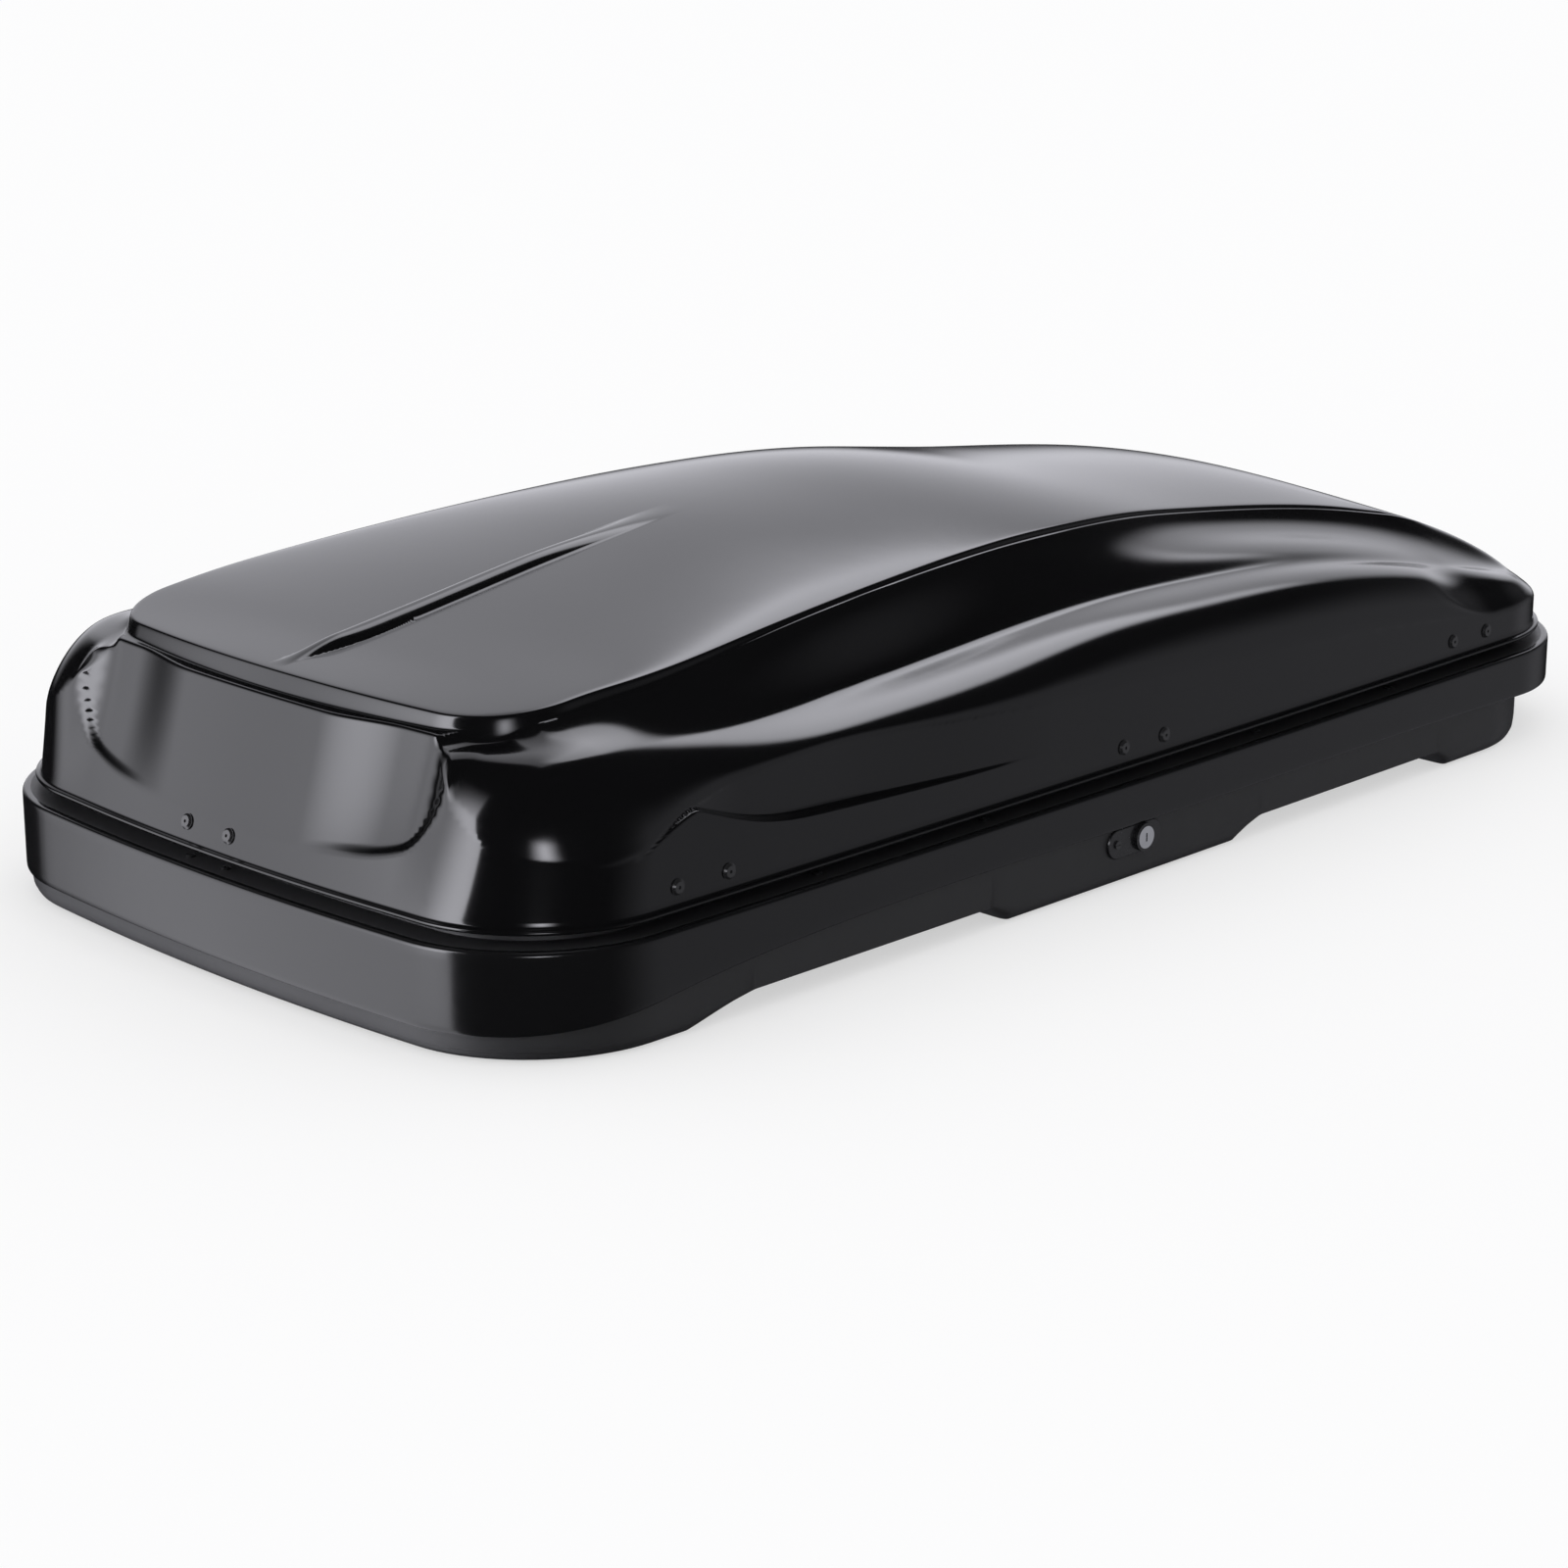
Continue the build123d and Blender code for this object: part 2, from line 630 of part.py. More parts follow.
def strut_axis():
    """Unit direction from the foot pivot to the head pivot, and their distance."""
    dy = STRUT_HEAD_Y - STRUT_FOOT_Y
    dz = STRUT_HEAD_Z - STRUT_FOOT_Z
    length = math.hypot(dy, dz)
    return Vector(0, dy / length, dz / length), length


def strut_pivot(x0, x1, radius):
    """Round bar along X on a strut's foot pivot."""
    return rod((x0, STRUT_FOOT_Y, STRUT_FOOT_Z), (x1, STRUT_FOOT_Y, STRUT_FOOT_Z), radius)


def strut_foot_bracket(x):
    """Fork bolted to the tub floor."""
    z0 = TUB_WALL
    plate = box(x - 16, x + 16, STRUT_FOOT_Y - 26, STRUT_FOOT_Y + 26, z0, z0 + 2.5)
    bracket = plate
    for step in (-STRUT_BOLT_Y, STRUT_BOLT_Y):
        y = STRUT_FOOT_Y + step
        bracket -= rod((x, y, z0 - 2), (x, y, z0 + 5), BOLT_R + 0.2)
    for step in (-9.5, 7):
        ear = box(x + step, x + step + 2.5, STRUT_FOOT_Y - 9, STRUT_FOOT_Y + 9, z0, STRUT_FOOT_Z)
        bracket += ear + strut_pivot(x + step, x + step + 2.5, 9)
    return bracket - strut_pivot(x - 12, x + 12, STRUT_PIN_R)


def strut_foot_bolts():
    """Countersunk bolts, flush under the feet, that hold the foot brackets."""
    solids = []
    for x, y in STRUT_BOLT_SPOTS:
        cone = Pos(x, y, 0.3) * Cone(BOLT_HEAD_R, BOLT_R, 2.4, align=(Align.CENTER, Align.CENTER, Align.MIN))
        shank = rod((x, y, 2), (x, y, TUB_WALL + 8.5), BOLT_R)
        drive = RegularPolygon(1.6, 6)
        socket = Pos(x, y, 0) * extrude(drive, 1.6)
        solids.append(cone + shank - socket)
    return group(solids)


def strut_foot_nuts():
    """Nuts on the foot bracket bolts."""
    solids = []
    for x, y in STRUT_BOLT_SPOTS:
        nut = Pos(x, y, TUB_WALL + 2.6) * extrude(RegularPolygon(4.2, 6), 3.2)
        solids.append(nut - rod((x, y, 0), (x, y, 20), BOLT_R + CLEAR))
    return group(solids)


def foot_bolt_hole(x, y):
    """Countersunk cutter through a foot of the tub."""
    base = (Align.CENTER, Align.CENTER, Align.MIN)
    cone = Pos(x, y, 0) * Cone(BOLT_HEAD_R + 0.5, BOLT_R + 0.2, 3, align=base)
    shaft = rod((x, y, -1), (x, y, 8), BOLT_R + 0.2)
    mouth = rod((x, y, -1), (x, y, 0.2), BOLT_HEAD_R + 0.5)
    return cone + shaft + mouth


def strut_foot_pins():
    """Pivot pins pressed into the two foot brackets."""
    solids = []
    for x in STRUT_X:
        solids.append(strut_pivot(x - 11, x + 9.5, STRUT_PIN_R) + strut_pivot(x + 9.5, x + 11, 5))
    return group(solids)


def strut_tube(x):
    """Gas cylinder with its foot eye and front gland."""
    way, length = strut_axis()
    foot = Vector(x, STRUT_FOOT_Y, STRUT_FOOT_Z)
    eye = strut_pivot(x - 6.5, x + 6.5, 8)
    neck = rod(tuple(foot + way * 5), tuple(foot + way * 14), 5)
    tube = rod(tuple(foot + way * 12), tuple(foot + way * (length - 24)), 9)
    inside = rod(tuple(foot + way * 15), tuple(foot + way * (length - 30)), 7.5)
    gland = rod(tuple(foot + way * (length - 40)), tuple(foot + way * (length - 20)), 4 + CLEAR)
    return eye + neck + tube - inside - gland - strut_pivot(x - 8, x + 8, STRUT_PIN_R + CLEAR)


def strut_rod(x):
    """Piston rod with its piston and open head eye."""
    way, length = strut_axis()
    foot = Vector(x, STRUT_FOOT_Y, STRUT_FOOT_Z)
    head = foot + way * length
    shaft = rod(tuple(foot + way * 18), tuple(head - way * 8), 4)
    piston = rod(tuple(foot + way * 18), tuple(foot + way * 28), 7.4)
    ring = rod((x - 5, head.Y, head.Z), (x + 5, head.Y, head.Z), STRUT_PIN_R + STRUT_PLAY + 4)
    eye = rod((x - 8, head.Y, head.Z), (x + 8, head.Y, head.Z), STRUT_PIN_R + STRUT_PLAY)
    return shaft + piston + ring - eye


def strut_head_spots(x):
    """Rivets of a strut's lid bracket on the lid's left wall."""
    return [((x + step, side_y(x + step, LID_INSET), RIVET_Z + 12), (0, 1, 0)) for step in (-18, 18)]


def strut_head_bracket(x):
    """Lid bracket whose stud stands in the rod's eye."""
    wall_y = inner_wall_y(x, 32)
    plate = box(x - 32, x + 32, wall_y - 3.2, wall_y + 3, LIP_Z + 8, STRUT_HEAD_Z - 2) & LID_CAVITY
    arm = box(x + 8, x + 11, STRUT_HEAD_Y, wall_y, STRUT_HEAD_Z - 26, STRUT_HEAD_Z + 6) & LID_CAVITY
    boss = rod((x + 8, STRUT_HEAD_Y, STRUT_HEAD_Z), (x + 11, STRUT_HEAD_Y, STRUT_HEAD_Z), 9)
    stud = rod((x - 7, STRUT_HEAD_Y, STRUT_HEAD_Z), (x + 10, STRUT_HEAD_Y, STRUT_HEAD_Z), STRUT_PIN_R)
    bracket = plate + arm + boss + stud
    for point, way in strut_head_spots(x):
        bracket -= rivet_hole(point, way)
    return bracket


# Groups of rivets

LID_CAVITY = lid_form(LID_WALL)
REAR_RIVETS = end_rivets(REAR_RIVET_X, REAR_LEAN, REAR_PAIR_Y)
FRONT_RIVETS = end_rivets(FRONT_RIVET_X, FRONT_LEAN, FRONT_PAIR_Y)
STRIKER_RIVETS = side_rivets(LATCH_X, -1)
HINGE_LID_RIVETS = side_rivets(HINGE_X, 1)
STRUT_HEAD_RIVETS = [spot for x in STRUT_X for spot in strut_head_spots(x)]
LID_RIVET_SPOTS = REAR_RIVETS + FRONT_RIVETS + STRIKER_RIVETS + HINGE_LID_RIVETS + STRUT_HEAD_RIVETS
HINGE_BASE_RIVETS = [
    ((x + step, 380, RIM_Z + 2), (0, 0, 1)) for x in HINGE_X for step in (-RIVET_HALF_PITCH, RIVET_HALF_PITCH)
]
GUIDE_RIVETS = [((x, -381, RIM_Z), (0, 0, 1)) for x in GUIDE_X]
SOCKET_RIVETS = [
    ((x, pair_y + y, RIM_Z), (0, 0, 1))
    for x, pair_y in ((-SOCKET_RIVET_X, REAR_PAIR_Y), (SOCKET_RIVET_X, FRONT_PAIR_Y))
    for y in (-SOCKET_RIVET_Y, SOCKET_RIVET_Y)
]
STRIP_RIVETS = strip_rivet_spots()
STRUT_BOLT_SPOTS = [(x, STRUT_FOOT_Y + step) for x in STRUT_X for step in (-STRUT_BOLT_Y, STRUT_BOLT_Y)]
BASE_RIVET_SPOTS = HINGE_BASE_RIVETS + GUIDE_RIVETS + SOCKET_RIVETS + STRIP_RIVETS


def rivets(spots, grip, head_r=SMALL_HEAD_R):
    """One node of identical rivets."""
    return group([rivet(point, way, grip, head_r) for point, way in spots])


def build_nodes():
    """Every node of the assembly, by name."""
    nodes = {
        "base_shell": base_shell(),
        "lid": lid(),
        "rim_seal": rim_seal(),
        "latch_bar": latch_bar(),
        "latch_hook_rivets": hook_rivets(),
        "latch_bar_guides": latch_guides(),
        "lock_escutcheon": lock_escutcheon(),
        "lock_escutcheon_screw": escutcheon_screw(),
        "lock_housing": lock_housing(),
        "lock_nut": lock_nut(),
        "lock_plug": lock_plug(),
        "lock_cam": lock_cam(),
        "lock_cam_clip": cam_clip(),
        "lid_guide_rear": lid_guide(REAR_RIVET_X, REAR_LEAN, REAR_PAIR_Y),
        "lid_guide_front": lid_guide(FRONT_RIVET_X, FRONT_LEAN, FRONT_PAIR_Y),
        "guide_socket_rear": guide_socket(-1, REAR_PAIR_Y),
        "guide_socket_front": guide_socket(1, FRONT_PAIR_Y),
        "strut_foot_pins": strut_foot_pins(),
        "striker_rivets": rivets(STRIKER_RIVETS, LID_WALL + 2.5, RIVET_HEAD_R),
        "hinge_lid_rivets": rivets(HINGE_LID_RIVETS, LID_WALL + 3, RIVET_HEAD_R),
        "lid_guide_rivets": rivets(REAR_RIVETS + FRONT_RIVETS, LID_WALL + 5.5, RIVET_HEAD_R),
        "strut_head_rivets": rivets(STRUT_HEAD_RIVETS, LID_WALL + 3.2, RIVET_HEAD_R),
        "hinge_base_rivets": rivets(HINGE_BASE_RIVETS, 6),
        "latch_guide_rivets": rivets(GUIDE_RIVETS, 8),
        "guide_socket_rivets": rivets(SOCKET_RIVETS, 8),
        "mounting_strip_rivets": rivets(STRIP_RIVETS, TUB_WALL + STRIP_THICK),
        "strut_foot_bolts": strut_foot_bolts(),
        "strut_foot_nuts": strut_foot_nuts(),
    }
    for name, x in zip(HINGE_NAMES, HINGE_X):
        nodes["hinge_base_leaf_" + name] = hinge_base_leaf(x)
        nodes["hinge_lid_leaf_" + name] = hinge_lid_leaf(x)
        nodes["hinge_pin_" + name] = hinge_pin(x)
    for name, x in zip(HINGE_NAMES, LATCH_X):
        nodes["striker_" + name] = striker(x)
        nodes["latch_hook_" + name] = latch_hook(x)
    for name, x in zip(END_NAMES, STRUT_X):
        nodes["strut_foot_bracket_" + name] = strut_foot_bracket(x)
        nodes["strut_tube_" + name] = strut_tube(x)
        nodes["strut_rod_" + name] = strut_rod(x)
        nodes["strut_head_bracket_" + name] = strut_head_bracket(x)
    for end, x in (("rear", SLOT_REAR_X), ("front", SLOT_FRONT_X)):
        for side, y in zip(("right", "left"), SLOT_ROWS_Y):
            nodes["mounting_strip_" + end + "_" + side] = mounting_strip(x, y)
    return nodes


os.makedirs("parts", exist_ok=True)
for node_name, solid in build_nodes().items():
    export_step(solid, "parts/" + node_name + ".step")
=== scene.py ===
import json
import math
import bpy
import numpy as np
from mathutils import Matrix, Vector


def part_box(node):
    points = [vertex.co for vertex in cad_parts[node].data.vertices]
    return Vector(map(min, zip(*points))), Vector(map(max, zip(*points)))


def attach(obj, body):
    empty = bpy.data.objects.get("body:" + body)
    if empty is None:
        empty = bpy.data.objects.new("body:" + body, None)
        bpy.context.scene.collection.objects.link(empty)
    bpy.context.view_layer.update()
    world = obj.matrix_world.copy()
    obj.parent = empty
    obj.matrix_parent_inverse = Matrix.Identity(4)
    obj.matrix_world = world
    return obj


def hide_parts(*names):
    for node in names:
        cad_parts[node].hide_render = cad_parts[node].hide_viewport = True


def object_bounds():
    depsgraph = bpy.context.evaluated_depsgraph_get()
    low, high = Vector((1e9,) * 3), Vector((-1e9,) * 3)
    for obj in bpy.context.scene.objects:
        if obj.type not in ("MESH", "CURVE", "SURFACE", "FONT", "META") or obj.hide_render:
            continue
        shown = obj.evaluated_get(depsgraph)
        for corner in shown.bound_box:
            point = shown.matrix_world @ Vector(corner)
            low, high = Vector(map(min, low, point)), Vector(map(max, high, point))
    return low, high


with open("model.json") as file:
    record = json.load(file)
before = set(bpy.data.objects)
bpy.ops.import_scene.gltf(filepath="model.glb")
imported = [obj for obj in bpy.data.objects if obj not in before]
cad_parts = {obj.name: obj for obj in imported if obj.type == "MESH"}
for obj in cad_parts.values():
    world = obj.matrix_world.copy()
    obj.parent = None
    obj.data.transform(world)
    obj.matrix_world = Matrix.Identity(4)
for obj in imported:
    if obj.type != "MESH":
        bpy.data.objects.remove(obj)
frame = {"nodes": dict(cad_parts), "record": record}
cad_box = [list(corner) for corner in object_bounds()]

# Shape functions work in millimetres in the CAD frame; meshes are scaled to metres when made.
MM = 0.001


def node_mm(name):
    low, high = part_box(name)
    return np.array(low) / MM, np.array(high) / MM


BASE_HIGH = node_mm("base_shell")[1]
LID_LOW, LID_HIGH = node_mm("lid")
RIM_HX = BASE_HIGH[0]
RIM_HY = BASE_HIGH[1]
UPSTAND_TALL = 14.0
RIM_Z = BASE_HIGH[2] - UPSTAND_TALL
LID_HX = LID_HIGH[0]
LID_HY = LID_HIGH[1]
LIP_Z = LID_LOW[2]
END_BOW = 28.0
SIDE_BOW = 6.7
# Half width and half length at which the lid and the rim reach the whole of each bow
LID_BOW_Y = 384.0
LID_BOW_X = 755.0
RIM_BOW_Y = 400.8
RIM_BOW_X = 772.0
CORNER_R = 143.0
LID_INSET = RIM_HY - LID_HY
LID_SKIN = 3.5


# ---------------------------------------------------------------- shape tools

def spline(xs, ys):
    """Smooth curve through points: natural cubic, straight beyond its ends."""
    xs = np.array(xs, float)
    ys = np.array(ys, float)
    n = len(xs)
    h = np.diff(xs)
    m = np.zeros((n, n))
    r = np.zeros(n)
    m[0, 0] = m[-1, -1] = 1.0
    for i in range(1, n - 1):
        m[i, i - 1] = h[i - 1]
        m[i, i] = 2 * (h[i - 1] + h[i])
        m[i, i + 1] = h[i]
        r[i] = 6 * ((ys[i + 1] - ys[i]) / h[i] - (ys[i] - ys[i - 1]) / h[i - 1])
    k = np.linalg.solve(m, r)
    start = (ys[1] - ys[0]) / h[0] - h[0] * k[1] / 6
    end = (ys[-1] - ys[-2]) / h[-1] + h[-1] * k[-2] / 6

    def value(x):
        x = np.asarray(x, float)
        i = np.clip(np.searchsorted(xs, x) - 1, 0, n - 2)
        a = (xs[i + 1] - x) / h[i]
        b = (x - xs[i]) / h[i]
        v = a * ys[i] + b * ys[i + 1]
        v = v + ((a ** 3 - a) * k[i] + (b ** 3 - b) * k[i + 1]) * h[i] ** 2 / 6
        v = np.where(x < xs[0], ys[0] + start * (x - xs[0]), v)
        return np.where(x > xs[-1], ys[-1] + end * (x - xs[-1]), v)
    return value


def ease(x, low, high):
    """Smooth step from 0 at low to 1 at high."""
    t = np.clip((x - low) / (high - low), 0, 1)
    return t * t * (3 - 2 * t)


def rounded(p, q, r):
    """Inside distance of two walls met by a corner of radius r."""
    u = np.maximum(r - p, 0)
    v = np.maximum(r - q, 0)
    return np.where((u > 0) & (v > 0), r - np.hypot(u, v), np.minimum(p, q))


def soft_max(p, q, r):
    """Union of two heights with a fillet of about r."""
    return 0.5 * (p + q + np.sqrt((p - q) ** 2 + r * r))


def soft_min(p, q, r):
    """Lower of two heights with a rounded edge of about r."""
    return 0.5 * (p + q - np.sqrt((p - q) ** 2 + r * r))


# ---------------------------------------------------------------- lid form

panel_half = spline(
    (-760, -640, -600, -550, -500, -400, -300, -200, -100, 0, 100, 200, 300, 400, 500, 600, 700, 800),
    (279, 280, 282, 286, 286, 278, 268, 258, 248, 237, 227, 215, 206, 205, 213, 230, 256, 288),
)
panel_edge_z = spline(
    (-760, -700, -660, -600, -550, -500, -400, -300, -200, -100, 0, 100, 200, 300, 400, 500, 600, 700, 800),
    (265, 270, 275, 282, 286, 290, 299, 306, 309, 310, 308, 303, 294, 280, 266, 251, 231, 202, 166),
)
panel_mid_z = spline(
    (-760, -700, -640, -600, -550, -460, -350, -223, -100, 0, 100, 200, 300, 400, 500, 600, 700, 800),
    (270, 275, 280, 285, 292, 305, 320, 335, 342, 343.5, 334, 316, 300, 286, 271, 249, 216, 178),
)
lip_drop = spline((-760, -600, -450, -300, 0, 200, 400, 560, 690, 800), (11, 11, 9, 7, 6, 5, 4, 3, 0, 0))
crease_z = spline(
    (-760, -700, -628, -560, -500, -425, -323, -222, -122, 18, 166, 313, 471, 612, 721, 800),
    (242, 244, 246, 242, 237, 234, 234, 235, 239, 245, 242, 234, 213, 184, 161, 151),
)
crease_half = spline(
    (-760, -560, -430, -323, -222, -122, 18, 166, 313, 471, 612, 721, 800),
    (332, 336, 331, 318, 308, 303, 303, 304, 310, 316, 317, 314, 312),
)
slope_in = spline(
    (-760, -628, -560, -500, -430, -330, -200, 0, 200, 400, 600, 800),
    (-0.35, -0.5, -0.5, -0.5, -0.55, -0.8, -0.95, -1.0, -0.9, -0.75, -0.5, -0.4),
)
slope_out = spline(
    (-760, -700, -628, -560, -500, -430, -330, -200, 0, 200, 400, 600, 800),
    (-0.35, -0.4, -0.5, -0.45, -0.4, -0.3, -0.2, -0.08, 0.0, 0.0, 0.0, -0.02, -0.02),
)
wall_top_z = spline(
    (-760, -700, -660, -628, -590, -540, -500, -450, -396, -308, -216, -80, 64, 216, 377, 513, 650, 800),
    (148, 149, 155, 170, 188, 201, 208, 213, 215, 210, 204, 198, 191, 182, 172, 159, 150, 146),
)
ledge_z = spline(
    (-700, -660, -628, -588, -542, -507, -471, -410, -218, -109, 100),
    (222, 219, 212, 199, 182, 170, 162, 157, 150, 149, 149),
)
rear_lean = spline((100, 131, 180, 264, 300), (-3.5, 7.3, 22, 45, 53))
nose_top = spline(
    (-20, 0, 8, 19, 35, 52, 65, 100, 150, 200, 300, 420),
    (95, 128, 143, 154, 169, 181, 189, 207, 231, 256, 300, 340),
)
scoop_low = spline(
    (80, 105, 141, 180, 208, 230, 245, 257, 264, 272),
    (141, 143, 147, 152, 159, 172, 192, 215, 241, 275),
)


def lid_side(x, y):
    """Distance inside the lid's side wall."""
    return LID_HY - SIDE_BOW * (x / LID_BOW_X) ** 2 - np.abs(y)


def ledge_depth(x):
    """How far the side wall is set in above the ledge."""
    return 13.0 * ease(x, -645, -505) * (1 - ease(x, -400, -118))


def scoop(y, z):
    """How deep the scoop in the rear face is."""
    side = np.minimum(np.abs(y), 272.0)
    steep = 0.5 * (scoop_low(side + 1) - scoop_low(side - 1))
    into = (z - scoop_low(side)) / np.sqrt(1 + steep ** 2) * (1 - 0.5 * ease(side, 225, 262))
    fade = ease(side, 92, 185)
    step = 5.5 * ease(into, -5.0, 7.0) * fade * (1 - 0.9 * ease(side, 232, 262))
    bowl = 6.0 * (1 - np.exp(-np.maximum(into, 0) / 34.0)) * (0.25 + 0.75 * fade)
    return step + bowl


def lid_rear(x, y, z):
    """Distance inside the leaning rear face."""
    bow = END_BOW * (y / LID_BOW_Y) ** 2
    lean = rear_lean(z) * (1 - 0.5 * ease(np.abs(y), 215, 335))
    return x + LID_HX - lean - bow - scoop(y, z)


def lid_front(x, y):
    """Distance inside the nose."""
    return LID_HX - END_BOW * (y / LID_BOW_Y) ** 2 - x


def panel_inside(x, y):
    """Distance inside the outline of the raised panel."""
    side = panel_half(x) - np.abs(y)
    rear = x + 722.0 - 22.0 * (y / 243.0) ** 2
    return rounded(side, rear, 72.0)


def spine(x, y):
    """Height of the rib along the middle of the panel's rear half."""
    run = ease(x, -716, -640) * (1 - ease(x, -430, -215))
    half = 9.0 + 8.0 * ease(x, -716, -600)
    u = np.clip(np.abs(y) / half, 0, 1)
    return 9.0 * run * (1 - u * u)


def panel_top(x, y):
    """Height of the panel with its steep lip."""
    mid = panel_mid_z(x)
    edge = panel_edge_z(x)
    top = mid - (mid - edge) * (y / panel_half(x)) ** 2 + spine(x, y)
    return top + soft_min(0.0, 3.2 * panel_inside(x, y), 4.0)


def body_top(x, w):
    """Height of the flank, the crease below it and the haunch; w is the distance in from the wall."""
    half = lid_side(x, 0)
    width = half - crease_half(x)
    step = ledge_depth(x)
    inner_z = panel_edge_z(x) - lip_drop(x)
    top = crease_z(x)
    arrive = slope_in(x)
    leave = slope_out(x)
    run = half - panel_half(x) - 4 - width
    t = np.clip((w - width) / run, 0, 1)
    s = 1 - t
    flank = (
        (1 + 2 * s) * (1 - s) ** 2 * inner_z
        + s * (1 - s) ** 2 * run * -0.85
        + s * s * (3 - 2 * s) * top
        + s * s * (s - 1) * run * arrive
    )
    wall = wall_top_z(x)
    reach = np.maximum(width - step, 5)
    u = np.clip(1 - (w - step) / reach, 0, 1)
    share = -leave * reach
    swell = 1.7 + 1.6 * ease(x, -660, -400)
    haunch = wall + (top - wall - share) * np.sqrt(np.maximum(1 - u ** swell, 0)) + share * (1 - u)
    fillet = 0.5 * (leave - arrive) * (np.sqrt((w - width) ** 2 + 64.0) - np.abs(w - width))
    return np.where(w > width, flank, haunch) + fillet


# Where the front strut's bracket is, and how far the lid swells over it and over the front guide
FRONT_STRUT_X = 608.0
STRUT_ROOM = 14.0
GUIDE_ROOM = 6.0


def bracket_room(x, y):
    """Extra height over the front strut's bracket on the left, and over the front guide."""
    strut = STRUT_ROOM * ease(y, 295, 350) * (1 - ease(np.abs(x - FRONT_STRUT_X), 50, 140))
    guide = GUIDE_ROOM * ease(x, 690, 750) * (1 - ease(np.abs(y), 55, 130))
    return strut + guide


def lid_inside(x, y, z):
    """Positive inside the lid's outer form."""
    r = CORNER_R - LID_INSET
    side = lid_side(x, y)
    front = lid_front(x, y)
    wall_side = side - ledge_depth(x) * ease(z - ledge_z(x), -0.5, 3.2)
    wall = rounded(rounded(wall_side, lid_rear(x, y, z), r), front, r)
    bow = END_BOW * (y / LID_BOW_Y) ** 2
    slack = 90 * (1 - ease(np.abs(y), 190, 268))
    w = rounded(side, x + LID_HX - bow - 5 + slack, r)
    top = soft_max(body_top(x, w), panel_top(x, y), 4.0)
    top = soft_min(top, nose_top(rounded(side + 12, front, r)) + 80 * (1 - ease(x, 380, 600)), 8.0)
    top = top + bracket_room(x, y)
    return rounded(wall, top - z, 3.0)


# ---------------------------------------------------------------- base form

band_low_z = spline((-800, -760, -640, -450, 0, 450, 640, 810), (25, 25, 40, 57, 58, 57, 54, 52))
BAND_STEP = 4.5
NOSE_SETBACK = 50.0
TUB_WALL = 4.0
BAR_ZONE = 21.0
KNEE_Z = 22.0


def plan_inside(x, y, nose):
    """Distance inside a plan outline of the base whose nose lies at the given x."""
    side = RIM_HY - SIDE_BOW * (x / RIM_BOW_X) ** 2 - np.abs(y)
    bow = END_BOW * (y / RIM_BOW_Y) ** 2
    return rounded(rounded(side, x + RIM_HX - bow, CORNER_R), nose - bow - x, CORNER_R)


def rim_inside(x, y):
    """Distance inside the rim outline."""
    return plan_inside(x, y, RIM_HX)


def tub_inside(x, y):
    """Distance inside the tub outline, whose nose stops short of the rim."""
    return plan_inside(x, y, RIM_HX - NOSE_SETBACK)


def underside(x):
    """Height of the tub's underside: feet with two crossbar zones between them."""
    return np.interp(
        x,
        (-810, -590, -515, -212, -182, 148, 187, 482, 510, 810),
        (0, 0, BAR_ZONE, BAR_ZONE, 0, 0, BAR_ZONE, BAR_ZONE, 0, 0),
    )


# ---------------------------------------------------------------- mesh from a form

# Columns run straight to this far from the middle, this far apart, then fan round the ends
STRAIGHT_REACH = 560.0
COLUMN_PITCH = 4.0
LID_FAN = 220
BASE_FAN = 120
# Longest ray from the middle line to a form
RAY_REACH = 620.0
# Level from which the rays to the lid start, above its lip
LID_RAY_RISE = 9.0
TUB_TOE = 27.0

def stations(reach, pitch, turns):
    """Columns round the form: straight runs down both sides, fans round both ends."""
    count = int(round(2 * reach / pitch))
    run = [-reach + 2 * reach * i / count for i in range(count + 1)]
    fan = [math.pi * i / turns for i in range(1, turns)]
    columns = [(x, 0.0, -1.0) for x in run]
    columns += [(reach, math.sin(a), -math.cos(a)) for a in fan]
    columns += [(x, 0.0, 1.0) for x in reversed(run)]
    columns += [(-reach, -math.sin(a), math.cos(a)) for a in fan]
    return np.array(columns)


def bisect(test, shape, far, steps=21):
    """Largest distance at which test still holds, for every ray."""
    low = np.zeros(shape)
    high = np.full(shape, far)
    for _ in range(steps):
        mid = 0.5 * (low + high)
        hit = test(mid)
        low = np.where(hit, mid, low)
        high = np.where(hit, high, mid)
    return 0.5 * (low + high)


def cast(inside, columns, z0, angles):
    """Points where rays from the middle line leave the form."""
    ox, hx, hy = (columns[:, k:k + 1] for k in range(3))
    c = np.cos(angles)
    s = np.sin(angles)
    shape = np.broadcast(ox, angles).shape
    d = bisect(lambda r: inside(ox + r * c * hx, r * c * hy, z0 + r * s) > 0, shape, RAY_REACH)
    return np.stack([ox + d * c * hx, d * c * hy, z0 + d * s], axis=-1)


def reach_out(outline, columns, inset):
    """Points at a given inset of a plan outline, one for each column."""
    ox, hx, hy = columns.T
    d = bisect(lambda r: outline(ox + r * hx, r * hy) > inset, ox.shape, RAY_REACH)
    return np.stack([ox + d * hx, d * hy], axis=-1)


def resample(points, count, weight):
    """Spread count points along each polyline, closer where the weight is high."""
    step = np.linalg.norm(np.diff(points, axis=1), axis=-1)
    step = step * 0.5 * (weight[:, 1:] + weight[:, :-1])
    along = np.concatenate([np.zeros((len(points), 1)), np.cumsum(step, axis=1)], axis=1)
    out = np.empty((len(points), count, 3))
    for i in range(len(points)):
        goal = np.linspace(0, along[i, -1], count)
        for k in range(3):
            out[i, :, k] = np.interp(goal, along[i], points[i, :, k])
    return out


